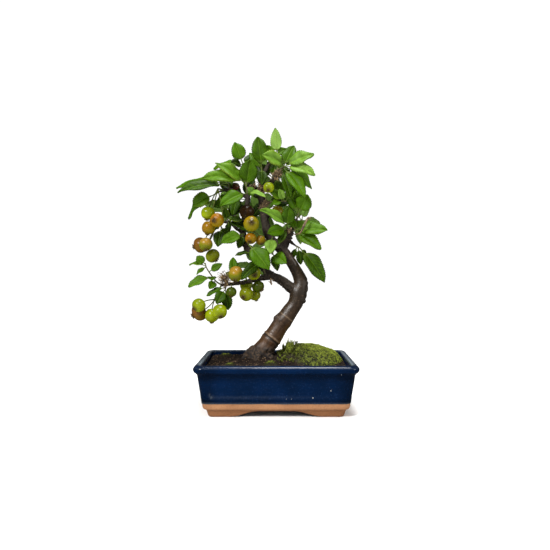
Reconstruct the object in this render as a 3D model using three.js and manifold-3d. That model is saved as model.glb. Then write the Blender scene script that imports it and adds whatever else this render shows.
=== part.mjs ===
// Crabapple bonsai in a rectangular glazed pot. Millimetres, +Z up.
// Every place is written from the middle of the pot at the height of the table: +X right, +Y back.
// The whole tree is moved at the end so that the origin lies at the middle of its box's underside.
import * as THREE from "three";
import { mergeVertices } from "three/addons/utils/BufferGeometryUtils.js";
import Module from "manifold-3d";

const wasm = await Module();
wasm.setup();

// ---- driving dimensions ----
const GAP = 0.35; // clearance between neighbouring pieces
const POT = { length: 210, depth: 157, height: 67, corner: 12, floorTop: 13, floorUnder: 7, footWidth: 12 };
const PANEL = { halfLength: 84, halfDepth: 57, low: 26, high: 51, corner: 6, sunk: 0.9 };
const DRAIN = { x: 45, radius: 7, meshSide: 32, meshThick: 1.2, meshHole: 5.4, meshPitch: 8.6 };
const LEAF = {
  thickness: 0.7,
  petioleEnd: 0.18, // share of the leaf's length where its blade begins
  petioleWidth: 1.1,
  petioleThick: 0.9,
  fold: 0.2, // rise of the blade's edge over its distance from the midrib
  narrow: 20, // a leaf narrower than this has two teeth on a side, a wider one three
};
const FRUIT_SIDES = 7;

// Pot wall from the foot, up the outside, over the lip and down the inside: inset from the rim, height.
const POT_PROFILE = [
  [18.2, 0], [15.6, 8.6], [13.2, 10.4], [11, 12.6], [10.5, 18],
  [4.9, 54], [3.4, 56.6], [0.5, 60.4], [0, 64], [1.3, 66.4], [3.6, POT.height],
  [7.8, 66.7], [9.4, 65], [19, 17], [24, POT.floorTop],
];
const WALL_TILT = Math.atan2(10.5 - 4.9, 54 - 18); // outside wall leans out towards the rim
const WALL_INSET = 7.3; // inset of the outside wall at the panel's mid height

// ---- small helpers ----
const vector = ([x, y, z]) => new THREE.Vector3(x, y, z);

// A repeatable draw in 0..1 for a whole number.
function draw(n) {
  const wave = Math.sin(n * 12.9898) * 43758.5453;
  return wave - Math.floor(wave);
}

function perpendicular(direction, axis) {
  return direction.clone().addScaledVector(axis, -direction.dot(axis)).normalize();
}

function geometryFrom(points, triangles) {
  const geometry = new THREE.BufferGeometry();
  const places = points.flatMap((point) => point.toArray());
  geometry.setAttribute("position", new THREE.Float32BufferAttribute(places, 3));
  geometry.setIndex(triangles.flat());
  return geometry;
}

function solidOf(geometry) {
  const bare = geometry.clone();
  bare.deleteAttribute("normal");
  bare.deleteAttribute("uv");
  const merged = mergeVertices(bare, 1e-4);
  const corners = merged.index.array;
  const kept = [];
  for (let i = 0; i < corners.length; i += 3) {
    const [a, b, c] = [corners[i], corners[i + 1], corners[i + 2]];
    if (a !== b && b !== c && c !== a) kept.push(a, b, c);
  }
  const mesh = new wasm.Mesh({
    numProp: 3,
    vertProperties: Float32Array.from(merged.attributes.position.array),
    triVerts: Uint32Array.from(kept),
  });
  return new wasm.Manifold(mesh);
}

function geometryOf(solid) {
  const mesh = solid.getMesh();
  const geometry = new THREE.BufferGeometry();
  geometry.setAttribute("position", new THREE.BufferAttribute(Float32Array.from(mesh.vertProperties), 3));
  geometry.setIndex(Array.from(mesh.triVerts));
  geometry.computeVertexNormals();
  return geometry;
}

const join = (solids) => solids.reduce((all, solid) => all.add(solid));

// Cutting can leave loose scraps behind: only the largest body is the piece.
function largest(solid) {
  const bodies = solid.decompose();
  return bodies.reduce((best, body) => (body.volume() > best.volume() ? body : best));
}

function boxesMeet(a, b) {
  const [boxA, boxB] = [a.boundingBox(), b.boundingBox()];
  return [0, 1, 2].every((k) => boxA.min[k] < boxB.max[k] && boxB.min[k] < boxA.max[k]);
}

// A closed solid through rings of equal count, each ring counter-clockwise about the way it travels.
function loft(rings) {
  const count = rings[0].length;
  const last = (rings.length - 1) * count;
  const triangles = [];
  for (let i = 0; i < rings.length - 1; i++) {
    for (let j = 0; j < count; j++) {
      const [a, b] = [i * count + j, i * count + ((j + 1) % count)];
      triangles.push([a, b, b + count], [a, b + count, a + count]);
    }
  }
  for (let j = 1; j < count - 1; j++) {
    triangles.push([0, j + 1, j], [last, last + j, last + j + 1]);
  }
  return geometryFrom(rings.flat(), triangles);
}

// A round limb through [x, y, z, radius] rows.
function limb(rows, sides, grow = 0) {
  const centres = rows.map(vector);
  const last = centres.length - 1;
  let across = null;
  const rings = centres.map((centre, i) => {
    const along = centres[Math.min(i + 1, last)].clone().sub(centres[Math.max(i - 1, 0)]).normalize();
    const guess = across ?? new THREE.Vector3(along.z > 0.9 || along.z < -0.9 ? 1 : 0, 0, 1);
    across = perpendicular(guess, along);
    const up = along.clone().cross(across);
    return Array.from({ length: sides }, (_, j) => {
      const angle = (j / sides) * 2 * Math.PI;
      const radius = rows[i][3] + grow;
      return centre.clone().addScaledVector(across, radius * Math.cos(angle))
        .addScaledVector(up, radius * Math.sin(angle));
    });
  });
  if (grow > 0) {
    const start = centres[0].clone().sub(centres[1]).setLength(grow);
    const end = centres[last].clone().sub(centres[last - 1]).setLength(grow);
    rings[0].forEach((point) => point.add(start));
    rings[last].forEach((point) => point.add(end));
  }
  return solidOf(loft(rings));
}

// The point a fraction of the way along a polyline.
function pointAlong(points, fraction) {
  const lengths = points.slice(1).map((point, i) => point.distanceTo(points[i]));
  let left = fraction * lengths.reduce((sum, length) => sum + length, 0);
  for (let i = 0; i < lengths.length; i++) {
    if (left <= lengths[i] || i === lengths.length - 1) {
      return points[i].clone().lerp(points[i + 1], Math.min(left / lengths[i], 1));
    }
    left -= lengths[i];
  }
}

// ---- pot ----
function roundedOutline(halfLength, halfDepth, radius, height, stepsPerCorner = 3) {
  const points = [];
  for (let corner = 0; corner < 4; corner++) {
    const signX = corner === 0 || corner === 3 ? 1 : -1;
    const signY = corner < 2 ? 1 : -1;
    for (let step = 0; step <= stepsPerCorner; step++) {
      const angle = ((corner + step / stepsPerCorner) * Math.PI) / 2;
      points.push(new THREE.Vector3(
        signX * (halfLength - radius) + radius * Math.cos(angle),
        signY * (halfDepth - radius) + radius * Math.sin(angle),
        height,
      ));
    }
  }
  return points;
}

function potRing(inset, height, stepsPerCorner) {
  const corner = Math.max(POT.corner - 0.3 * inset, 5);
  return roundedOutline(POT.length / 2 - inset, POT.depth / 2 - inset, corner, height, stepsPerCorner);
}

// The space between two feet: a low arch through the pot's foot, seen from the front.
function footArch(halfWidth, halfTop, reach) {
  const rise = POT.floorUnder;
  const bend = (halfWidth - halfTop) / 5;
  const outline = new THREE.Shape();
  outline.moveTo(-halfWidth, -1);
  outline.lineTo(-halfWidth, 0);
  outline.bezierCurveTo(-halfWidth + bend, 0, -halfTop - bend, rise, -halfTop, rise);
  outline.lineTo(halfTop, rise);
  outline.bezierCurveTo(halfTop + bend, rise, halfWidth - bend, 0, halfWidth, 0);
  outline.lineTo(halfWidth, -1);
  const settings = { depth: 2 * reach, bevelEnabled: false, curveSegments: 4 };
  return new THREE.ExtrudeGeometry(outline, settings).rotateX(Math.PI / 2).translate(0, reach, 0);
}

// A shallow rounded panel sunk into the leaning front wall.
function wallPanel(halfWidth, wallDistance) {
  const rise = (PANEL.high - PANEL.low) / 2;
  const outline = new THREE.Shape(
    roundedOutline(halfWidth, rise, PANEL.corner, 0, 2).map((p) => new THREE.Vector2(p.x, p.y)));
  const slab = new THREE.ExtrudeGeometry(outline, { depth: 6, bevelEnabled: false });
  return slab.translate(0, 0, -PANEL.sunk).rotateX(Math.PI / 2 + WALL_TILT)
    .translate(0, -wallDistance, PANEL.low + rise);
}

function makePot() {
  const body = solidOf(loft(POT_PROFILE.map(([inset, height]) => potRing(inset, height))));
  const footInset = POT_PROFILE[0][0] + POT.footWidth;
  const hollow = solidOf(loft([potRing(footInset, -1), potRing(footInset, POT.floorUnder)]));
  const frontPanel = wallPanel(PANEL.halfLength, POT.depth / 2 - WALL_INSET);
  const sidePanel = wallPanel(PANEL.halfDepth, POT.length / 2 - WALL_INSET).rotateZ(Math.PI / 2);
  const drain = new THREE.CylinderGeometry(DRAIN.radius, DRAIN.radius, 3 * POT.floorTop, 16);
  drain.rotateX(Math.PI / 2);
  const cuts = [
    hollow,
    solidOf(footArch(61, 22, POT.depth)),
    solidOf(footArch(42, 15, POT.length).rotateZ(Math.PI / 2)),
    solidOf(frontPanel),
    solidOf(frontPanel.clone().rotateZ(Math.PI)),
    solidOf(sidePanel),
    solidOf(sidePanel.clone().rotateZ(Math.PI)),
    solidOf(drain.clone().translate(-DRAIN.x, 0, 0)),
    solidOf(drain.clone().translate(DRAIN.x, 0, 0)),
  ];
  return cuts.reduce((pot, cut) => pot.subtract(cut), body);
}

// Plastic mesh that keeps the soil in over a drainage hole: it lies on the pot's floor.
function drainPlate(x, grow = 0) {
  const half = DRAIN.meshSide / 2 + grow;
  const base = POT.floorTop + GAP;
  return solidOf(loft([base, base + DRAIN.meshThick + grow].map((height) =>
    roundedOutline(half, half, 3, height, 1).map((point) => point.setX(point.x + x)))));
}

function drainScreen(x) {
  let screen = drainPlate(x);
  const hole = new THREE.BoxGeometry(DRAIN.meshHole, DRAIN.meshHole, 4 * DRAIN.meshThick);
  for (const column of [-1, 0, 1]) {
    for (const row of [-1, 0, 1]) {
      const place = [x + column * DRAIN.meshPitch, row * DRAIN.meshPitch, POT.floorTop + DRAIN.meshThick];
      screen = screen.subtract(solidOf(hole.clone().translate(...place)));
    }
  }
  return screen;
}

// ---- soil and moss ----
const SOIL_LEVEL = 58.5;
const SOIL_MOUNDS = [ // x, y, height, reach along x, reach along y
  [-18, 4, 12, 46, 34],
  [44, 20, 9, 44, 34],
];

function soilHeight(x, y) {
  return SOIL_MOUNDS.reduce((height, [cx, cy, rise, reachX, reachY]) =>
    height + rise * Math.exp(-(((x - cx) / reachX) ** 2) - ((y - cy) / reachY) ** 2), SOIL_LEVEL);
}

function makeSoil(cutters) {
  const wallRing = (inset, height) => potRing(inset + GAP + 0.1, height, 2);
  const rings = [wallRing(24, POT.floorTop + GAP), wallRing(19, 17 + GAP), wallRing(10.7, SOIL_LEVEL)];
  const rim = rings[2];
  for (const share of [0.8, 0.6, 0.42, 0.25, 0.1]) {
    rings.push(rim.map((p, j) => {
      const [x, y] = [p.x * share, p.y * share];
      return new THREE.Vector3(x, y, soilHeight(x, y) + 1.2 * (draw(j + 97 * share) - 0.5));
    }));
  }
  return cutters.reduce((soil, cut) => soil.subtract(cut), solidOf(loft(rings)));
}

// A cushion of moss: it bulges from the soil and keeps clear of it by the gap.
function mossCushion([cx, cy, radiusX, radiusY, rise], seed, sides, raisedSoil) {
  const rings = [[1, -4], [1, 0.12], [0.82, 0.6], [0.5, 0.92], [0.2, 1]].map(([share, lift], level) =>
    Array.from({ length: sides }, (_, j) => {
      const angle = (j / sides) * 2 * Math.PI;
      const ragged = share * (1 + 0.16 * (draw(seed + j) - 0.5));
      const [x, y] = [cx + radiusX * ragged * Math.cos(angle), cy + radiusY * ragged * Math.sin(angle)];
      const swell = lift > 0 ? rise * lift * (1 + 0.2 * (draw(seed + 31 * level + j) - 0.5)) : lift;
      return new THREE.Vector3(x, y, soilHeight(x, y) + swell);
    }));
  return largest(solidOf(loft(rings)).subtract(raisedSoil));
}

// ---- wood: roots, trunk, leaders, branches and dry spurs grew as one piece ----
const TRUNK = [
  [-31, 0, 40, 12], [-29, 0, 53, 16.5], [-21.5, 0, 71, 15.4], [-12.5, 0, 84, 13.2],
  [-7.5, 0, 91, 13.8], [-2.5, 0, 98, 12.6], [5.5, 0, 111, 12], [9.5, 0, 117, 12.8],
  [13.5, 0, 122, 11.7], [19.5, 0, 131, 11], [25.2, 0, 139, 10.4], [29, 0, 147, 11.2],
  [31, 0, 157, 11.8], [34.5, 0, 168, 10], [32, 0, 178, 8.8], [27, -2, 188, 7.8],
  [19, -4, 201, 7.3], [11, -5, 212, 7], [1, -4, 221, 6.6], [-8, 0, 232, 6.2],
  [-14, 3, 247, 5.8], [-17, 5, 266, 5.3], [-20, 5, 285, 4.8],
  [-21, 4, 304, 4.2], [-17, 3, 321, 3.4], [-11, 2, 333, 2.6], [-7, 1, 342, 1.8],
];
const BRANCHES = {
  low: [[30, 0, 158, 8], [21, -2, 163, 7.4], [12, -5, 170, 6.6], [3, -8, 176, 5.6], [-8, -10, 179, 5.2],
    [-23, -12, 176, 3.6], [-37, -14, 172, 3], [-50, -14, 170, 2.7], [-63, -13, 168, 2.5],
    [-75, -12, 167, 2.3]],
  leftLeader: [[-4, -8, 178, 5.2], [-17, -6, 190, 5.1], [-26, -3, 201, 5.1], [-36, 0, 212, 5],
    [-43, 3, 225, 4.8], [-46, 5, 238, 4.5], [-45, 6, 255, 4.1], [-41, 6, 274, 3.7], [-39, 5, 291, 3.2],
    [-40, 4, 304, 2.6], [-43, 3, 317, 2]],
  leftArm: [[-40, 5, 288, 2.8], [-50, 2, 294, 2.4], [-61, 0, 298, 2.2], [-72, -2, 298, 1.9],
    [-83, -4, 293, 1.6]],
  leftHook: [[-46, 5, 239, 2.6], [-56, 6, 246, 2.3], [-65, 8, 254, 2], [-75, 9, 254, 1.7],
    [-82, 9, 245, 1.4]],
  crownArm: [[-40, 4, 303, 2.4], [-46, 2, 315, 2], [-49, 0, 327, 1.5]],
  topArm: [[-20, 4, 299, 3.4], [-10, 1, 307, 3.2], [-2, -2, 314, 3.2], [4, -4, 324, 2.8]],
  rightKnob: [[1, -4, 221, 6.2], [8, -4, 227, 5.8], [14, -3, 234, 5.6], [16, -2, 241, 4.6]],
  rightTwig: [[15, 0, 237, 2.6], [24, 4, 249, 2.2], [29, 6, 259, 1.7]],
  rightShoot: [[16, -1, 232, 2.4], [22, -1, 225, 1.9], [27, -2, 221, 1.5]],
  backLow: [[17, -3, 203, 4], [14, 16, 213, 3.2], [6, 32, 224, 2.6], [-4, 44, 232, 2]],
  backMiddle: [[-16, 4, 258, 3.6], [-8, 20, 268, 2.8], [2, 34, 278, 2.2], [8, 42, 284, 1.8]],
  backLeft: [[-45, 6, 252, 3], [-54, 20, 260, 2.5], [-62, 33, 266, 2.1], [-66, 41, 269, 1.7]],
  backRight: [[15, -2, 238, 3.4], [24, 14, 247, 2.8], [32, 28, 254, 2.2], [36, 36, 258, 1.8]],
  backCrown: [[-20, 4, 311, 2.8], [-17, 17, 320, 2.3], [-15, 28, 326, 1.8]],
  backInner: [[-43, 4, 268, 3], [-36, 16, 272, 2.4], [-30, 26, 274, 1.8]],
  backUnder: [[-10, -9, 179, 3], [-15, 8, 186, 2.4], [-22, 22, 192, 2], [-28, 30, 195, 1.6]],
};
const ROOTS = [ // heading in degrees, reach
  [190, 20], [262, 16], [335, 20], [45, 18], [118, 17],
];
const DRY_SPURS = [ // where it stands on the wood, which way it points, how many stubs, their length
  { at: [0, -4, 313], towards: [0.35, -0.45, 0.8], stubs: 4, length: 17 },
  { at: [-38, 2, 296], towards: [0.6, -0.4, 0.8], stubs: 2, length: 12 },
  { at: [-21, 2, 292], towards: [0.1, -0.9, 0.4], stubs: 2, length: 13 },
  { at: [-18, 3, 274], towards: [0.5, -0.8, 0.5], stubs: 3, length: 15 },
  { at: [-66, -13, 169], towards: [-0.2, -0.5, 0.6], stubs: 4, length: 11 },
  { at: [15, -4, 236], towards: [0.2, -0.6, 0.5], stubs: 3, length: 11 },
  { at: [-6, -10, 178], towards: [0.2, -0.5, -0.8], stubs: 2, length: 11 },
];
const KNOBS = [ // old cut ends that stand out on the trunk: x, y, z, radius
  [37, -2, 146, 4.8], [38, 0, 169, 4.4], [1, -5, 121, 4.6],
];

function rootRows([heading, reach]) {
  const [cos, sin] = [Math.cos((heading * Math.PI) / 180), Math.sin((heading * Math.PI) / 180)];
  const place = (share, height, radius) => [-24 + reach * share * cos, reach * share * sin, height, radius];
  return [place(0.3, 80, 5), place(0.8, 69, 6), place(1.1, 60, 4), place(1.5, 46, 2.2)];
}

function drySpurRows({ at, towards, stubs, length }, index) {
  const axis = vector(towards).normalize();
  return Array.from({ length: stubs }, (_, i) => {
    const seed = 17 * index + 5 * i;
    const sway = new THREE.Vector3(draw(seed) - 0.5, draw(seed + 1) - 0.5, draw(seed + 2) - 0.5);
    const end = vector(at).addScaledVector(axis, length * (0.8 + 0.4 * draw(seed + 3)))
      .addScaledVector(sway, length * 0.8);
    const foot = vector(at).addScaledVector(sway, 3.5);
    return [[...foot.toArray(), 1.5], [...end.toArray(), 0.9]];
  });
}

function makeWood(grow = 0) {
  const limbs = [
    limb(TRUNK, 9, grow),
    ...Object.values(BRANCHES).map((rows) => limb(rows, rows[0][3] > 4 ? 7 : 4, grow)),
    ...ROOTS.map((root) => limb(rootRows(root), 5, grow)),
    ...DRY_SPURS.flatMap((spur, index) => drySpurRows(spur, index)).map((rows) => limb(rows, 3, grow)),
    ...KNOBS.map(([x, y, z, radius]) =>
      solidOf(new THREE.SphereGeometry(radius + grow, 5, 4).translate(x, y, z))),
  ];
  return largest(join(limbs));
}

// ---- leaves ----
// Half-width of the blade at a share of its length, 1 at its widest.
const bladeWidth = (share) => Math.sin(Math.PI * share ** 0.75) ** 0.7;

// A leaf: flat petiole, folded and arched blade, saw-toothed edge. Both faces are split alike.
function leafSolid({ base, tip, width, arch, facing }, grow = 0) {
  const teeth = width < LEAF.narrow ? 2 : 3;
  const chord = tip.clone().sub(base);
  const length = chord.length();
  const upward = perpendicular(facing, chord.clone().normalize());
  const crest = base.clone().add(tip).multiplyScalar(0.5).addScaledVector(upward, 2 * arch * length);
  const midrib = new THREE.QuadraticBezierCurve3(base, crest, tip);
  const [faceUp, faceDown] = [[], []];
  const place = (share, out, lift, thickness) => {
    const along = midrib.getTangent(share);
    const side = along.clone().cross(upward).normalize();
    const normal = side.clone().cross(along);
    const point = midrib.getPoint(share).addScaledVector(side, out).addScaledVector(normal, lift);
    faceUp.push(point.clone().addScaledVector(normal, thickness / 2 + grow));
    faceDown.push(point.clone().addScaledVector(normal, -thickness / 2 - grow));
  };
  const bladeShare = (share) => LEAF.petioleEnd + (1 - LEAF.petioleEnd) * share;
  const edges = [];
  for (let tooth = 0; tooth < teeth; tooth++) {
    edges.push([(0.93 * (tooth + 0.22)) / teeth, tooth === 0 ? 0.75 : 0.9]);
    edges.push([(0.93 * (tooth + 0.85)) / teeth, 1.06]);
  }
  const stalk = LEAF.petioleWidth / 2 + grow;
  place(0, -stalk, 0, LEAF.petioleThick);
  place(0, stalk, 0, LEAF.petioleThick);
  for (const side of [-1, 1]) {
    for (const [share, reach] of edges) {
      const out = (width / 2) * bladeWidth(share) * reach;
      place(bladeShare(share), side * (out + grow), LEAF.fold * out, LEAF.thickness);
    }
  }
  for (let tooth = 0; tooth < teeth; tooth++) {
    place(bladeShare((tooth + 0.47) / teeth), 0, 0, LEAF.thickness + 0.2);
  }
  place(1 + grow / length, 0, 0, LEAF.thickness);

  const count = 2 * teeth;
  const left = (k) => 2 + k;
  const right = (k) => 2 + count + k;
  const middle = (k) => 2 + 2 * count + k;
  const end = 2 + 2 * count + teeth;
  const face = [[0, 1, middle(0)]];
  const half = (edge, root, mirrored) => {
    const put = (a, b, c) => face.push(mirrored ? [a, c, b] : [a, b, c]);
    put(root, middle(0), edge(0));
    for (let k = 0; k < teeth; k++) {
      put(edge(2 * k), middle(k), edge(2 * k + 1));
      const next = k + 1 < teeth;
      put(middle(k), next ? middle(k + 1) : end, next ? edge(2 * k + 2) : edge(2 * k + 1));
      if (next) put(middle(k), edge(2 * k + 2), edge(2 * k + 1));
    }
  };
  half(left, 0, false);
  half(right, 1, true);
  const rim = [0, 1, ...Array.from({ length: count }, (_, k) => right(k)), end,
    ...Array.from({ length: count }, (_, k) => left(count - 1 - k))];
  const total = faceUp.length;
  const triangles = face.flatMap(([a, b, c]) => [[a, b, c], [total + a, total + c, total + b]]);
  rim.forEach((a, i) => {
    const b = rim[(i + 1) % rim.length];
    triangles.push([a, total + a, total + b], [a, total + b, b]);
  });
  return solidOf(geometryFrom([...faceUp, ...faceDown], triangles));
}

// Each shoot: its stem from the middle of the branch outwards, the stem's radius, and its leaves.
// A leaf: share of the stem where it stands, tip x, y, z, width, turn, arch.
// Turn is the way the upper face looks: 0 to the front, 90 straight up, 180 to the back.
const SHOOTS = {
  shoot_low_tip: {
    stem: [[-74, -12, 167], [-82, -10, 172], [-89, -9, 181], [-95, -8, 190], [-97, -8, 197]], radius: 1.1,
    leaves: [
      [0.95, -109, -8, 206, 12, 5, 0.06], [0.88, -120, -2, 194, 11, 61, 0.14],
      [0.66, -73, -12, 196, 10, 14, 0.08], [0.86, -108, -14, 181, 8, 52, 0.08],
      [0.46, -87, -22, 173, 11, 10, 0.05], [0.45, -119, -16, 164, 16, 51, 0.08],
      [0.28, -90, -20, 162, 11, 5, 0.06],
    ],
  },
  shoot_low_hanging: {
    stem: [[-68, -13, 168], [-69, -15, 161]], radius: 1.4,
    leaves: [
      [0.56, -94, -18, 152, 11, 60, 0.05], [0.94, -80, -25, 142, 15, 8, 0.06],
      [0.97, -65, -10, 133, 14, 20, 0.1],
    ],
  },
  shoot_low_folded: {
    stem: [[-54, -14, 170], [-58, -9, 178]], radius: 1,
    leaves: [[0.84, -59, -8, 205, 12, 9, 0.04], [0.8, -69, -5, 184, 8, 15, 0.06]],
  },
  shoot_low_inner: {
    stem: [[-14, -11, 178], [-19, -19, 197]], radius: 1.2,
    leaves: [
      [0.96, -46, -38, 174, 14, 30, 0.2], [0.88, -38, -12, 196, 8, 18, 0.1],
      [0.64, -14, -9, 203, 8, 5, 0.05],
    ],
  },
  shoot_front_broad: {
    stem: [[-37, 1, 214], [-34, -14, 216], [-38, -31, 223]], radius: 1.2,
    leaves: [[0.95, -9, -42, 187, 25, 36, 0.05]],
  },
  shoot_front_pale: {
    stem: [[-6, -2, 230], [-5, -13, 232]], radius: 1.1,
    leaves: [[0.98, -9, -34, 208, 16, 32, 0.06]],
  },
  shoot_trunk: {
    stem: [[1, -4, 221], [-6, -13, 209]], radius: 1.1,
    leaves: [[0.98, 14, -28, 196, 18, 10, 0.05], [0.8, 2, -16, 186, 12, 20, 0.05]],
  },
  shoot_knob_front: {
    stem: [[16, -3, 241], [15, -10, 247]], radius: 1.6,
    leaves: [
      [0.95, -22, -44, 265, 21, 35, 0.08], [0.66, -12, -30, 236, 16, 11, 0.05],
      [0.79, 17, -16, 273, 19, 5, 0.03], [0.54, 3, -20, 222, 10, 37, 0.05],
    ],
  },
  shoot_knob_right: {
    stem: [[18, -2, 237], [27, -4, 243]], radius: 1.5,
    leaves: [
      [0.95, 70, -14, 241, 22, 34, 0.06], [0.71, 61, -18, 215, 21, 48, 0.04],
      [0.72, 49, 4, 231, 12, 44, 0.06], [0.92, 22, 2, 258, 10, 5, 0.05], [0.7, 45, 6, 256, 14, 30, 0.05],
    ],
  },
  shoot_right_hanging: {
    stem: [[27, -2, 221], [33, -3, 218]], radius: 1.2,
    leaves: [
      [0.98, 66, -12, 170, 23, 42, 0.07], [0.54, 34, 2, 195, 11, 50, 0.05], [0.38, 22, 5, 203, 8, 35, 0.05],
      [0.94, 43, 12, 199, 12, 46, 0.06],
    ],
  },
  shoot_right_rising: {
    stem: [[29, 6, 259], [32, 6, 268]], radius: 1.3,
    leaves: [
      [0.8, 44, 0, 292, 23, 5, 0.05], [0.64, 17, 4, 302, 19, 32, 0.05], [0.8, 31, 18, 300, 17, 40, 0.05],
    ],
  },
  shoot_top_right: {
    stem: [[4, -4, 324], [12, -6, 330]], radius: 1.8,
    leaves: [
      [0.84, 52, -12, 345, 23, 38, 0.06], [0.78, 32, 6, 340, 13, 53, 0.06],
      [0.85, 53, -16, 315, 21, 36, 0.14], [0.95, 49, 6, 300, 20, 48, 0.1],
      [0.64, 39, -24, 284, 21, 54, 0.08], [0.75, 25, 4, 360, 19, 34, 0.05],
      [0.35, 20, -9, 285, 14, 47, 0.06], [0.89, -19, -30, 340, 21, 22, 0.12],
    ],
  },
  shoot_apex: {
    stem: [[-10, 1, 336], [1, -1, 346]], radius: 1.5,
    leaves: [
      [0.97, -1, -2, 384, 15, 155, 0.03], [0.55, -21, 22, 363, 15, 16, 0.05],
      [0.72, -14, -5, 359, 11, 7, 0.04], [0.94, 14, 8, 357, 13, 15, 0.05],
    ],
  },
  shoot_heart: {
    stem: [[-6, 0, 311], [-5, 8, 317]], radius: 1.2,
    leaves: [
      [0.82, 7, 12, 290, 16, 18, 0.05], [0.49, 0, 15, 341, 14, 10, 0.04],
      [0.98, 20, 10, 327, 16, 20, 0.05], [0.97, -30, 15, 337, 15, 12, 0.02],
    ],
  },
  shoot_crown_middle: {
    stem: [[-17, 3, 318], [-20, -4, 329]], radius: 1.5,
    leaves: [
      [0.84, -25, -8, 370, 21, 5, 0.03], [0.67, -37, 2, 350, 14, 37, 0.05],
      [0.95, -19, -12, 303, 15, 5, 0.04],
    ],
  },
  shoot_crown_left: {
    stem: [[-48, 0, 325], [-46, -2, 335]], radius: 1.4,
    leaves: [
      [0.96, -57, -6, 363, 19, 5, 0.03], [0.74, -61, -20, 333, 12, 10, 0.06],
      [0.51, -88, 13, 329, 20, 49, 0.1], [0.72, -28, 14, 347, 15, 27, 0.06],
    ],
  },
  shoot_crown_front: {
    stem: [[-43, 3, 314], [-39, -16, 291]], radius: 1.4,
    leaves: [
      [0.58, -34, -28, 335, 24, 8, 0.05], [0.98, -74, -33, 271, 23, 35, 0.1],
      [0.94, -14, -28, 284, 12, 54, 0.1], [0.45, -83, -16, 332, 19, 31, 0.12],
      [0.25, -100, -20, 310, 21, 32, 0.14], [0.49, -31, -12, 288, 12, 20, 0.08],
    ],
  },
  shoot_left_upper: {
    stem: [[-64, 0, 298], [-66, -5, 306]], radius: 1.4,
    leaves: [
      [0.98, -142, 22, 303, 26, 52, 0.08], [0.63, -132, -26, 290, 25, 46, 0.1],
      [0.98, -92, 14, 322, 14, 40, 0.06],
    ],
  },
  shoot_left_middle: {
    stem: [[-82, -4, 293], [-86, -8, 290]], radius: 1.2,
    leaves: [[0.95, -114, -8, 275, 20, 14, 0.14], [0.6, -122, 8, 258, 20, 54, 0.1]],
  },
  shoot_left_broad: {
    stem: [[-52, 2, 295], [-53, 1, 289]], radius: 1.3,
    leaves: [[0.98, -88, 4, 275, 19, 30, 0.06], [0.71, -60, -4, 262, 14, 12, 0.05]],
  },
  shoot_shade_left: {
    stem: [[-40, 7, 283], [-43, 13, 289]], radius: 1.3,
    leaves: [
      [0.98, -80, 15, 311, 18, 20, 0.05], [0.84, -33, 13, 319, 17, 12, 0.05],
      [0.64, -67, 15, 265, 17, 20, 0.05], [0.58, -80, 14, 287, 17, 25, 0.04],
    ],
  },
  shoot_shade_right: {
    stem: [[-19, 7, 281], [-14, 13, 285]], radius: 1.3,
    leaves: [
      [0.98, -38, 21, 306, 17, 15, 0.05], [0.98, 20, 17, 283, 17, 15, 0.05],
      [0.95, -34, 16, 262, 14, 15, 0.03],
    ],
  },
  shoot_hook: {
    stem: [[-65, 8, 254], [-68, 0, 258]], radius: 1.2,
    leaves: [
      [0.98, -46, -12, 254, 12, 41, 0.06], [0.7, -40, -8, 241, 15, 52, 0.05],
      [0.35, -66, -6, 238, 8, 44, 0.05], [0.7, -71, -8, 273, 10, 18, 0.05],
    ],
  },
  shoot_hook_end: {
    stem: [[-78, 9, 252], [-76, 3, 246]], radius: 1.2,
    leaves: [[0.95, -80, -9, 219, 16, 5, 0.05], [0.47, -68, 14, 232, 11, 23, 0.05]],
  },
  shoot_leader_front: {
    stem: [[-46, 5, 235], [-44, -7, 237]], radius: 1.3,
    leaves: [[0.98, -74, -20, 223, 18, 31, 0.1], [0.86, -52, -8, 217, 11, 5, 0.04]],
  },
  shoot_leader_low: {
    stem: [[-33, -1, 208], [-34, -8, 211]], radius: 1,
    leaves: [[0.96, -56, -8, 207, 9, 53, 0.08]],
  },
  shoot_centre: {
    stem: [[-17, 4, 279], [-4, -2, 282], [14, -6, 282]], radius: 1.5,
    leaves: [
      [0.88, -9, -8, 297, 14, 32, 0.08], [0.83, -7, -14, 275, 12, 42, 0.06],
      [0.91, 4, -16, 297, 10, 8, 0.06], [0.98, 26, 0, 302, 12, 27, 0.05],
    ],
  },
};

// Rosettes fill the side away from the front: branch end, shoot direction, leaves, length, draw seed.
const ROSETTES = {
  rosette_back_low: { at: [-4, 44, 232], towards: [-0.4, 0.8, 0.5], leaves: 4, length: 44, seed: 10 },
  rosette_back_middle: { at: [8, 42, 284], towards: [0.4, 0.8, 0.5], leaves: 5, length: 44, seed: 179 },
  rosette_back_left: { at: [-66, 41, 269], towards: [-0.4, 0.9, 0.4], leaves: 5, length: 42, seed: 10 },
  rosette_back_right: { at: [36, 36, 258], towards: [0.2, 0.9, 0.4], leaves: 5, length: 36, seed: 165 },
  rosette_back_inner: { at: [-30, 26, 274], towards: [0.2, 0.8, -0.1], leaves: 5, length: 38, seed: 212 },
  rosette_back_crown: { at: [-15, 28, 326], towards: [0.1, 0.8, 0.6], leaves: 5, length: 42, seed: 37 },
  rosette_back_under: { at: [-28, 30, 195], towards: [-0.5, 0.8, 0.2], leaves: 4, length: 38, seed: 105 },
};

function shootParts({ stem, radius, leaves }) {
  const points = stem.map(vector);
  const last = points.length - 1;
  const rows = stem.map((point, i) => [...point, radius * (1 - (0.35 * i) / last)]);
  const blades = leaves.map(([share, x, y, z, width, turn, arch]) => {
    const angle = (turn * Math.PI) / 180;
    const tip = new THREE.Vector3(x, y, z);
    const middle = pointAlong(points, share);
    return {
      base: middle.clone().addScaledVector(tip.clone().sub(middle).normalize(), 0.4 * radius),
      tip,
      width,
      arch,
      facing: new THREE.Vector3(0, -Math.cos(angle), Math.sin(angle)),
    };
  });
  return { rows, blades };
}

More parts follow.
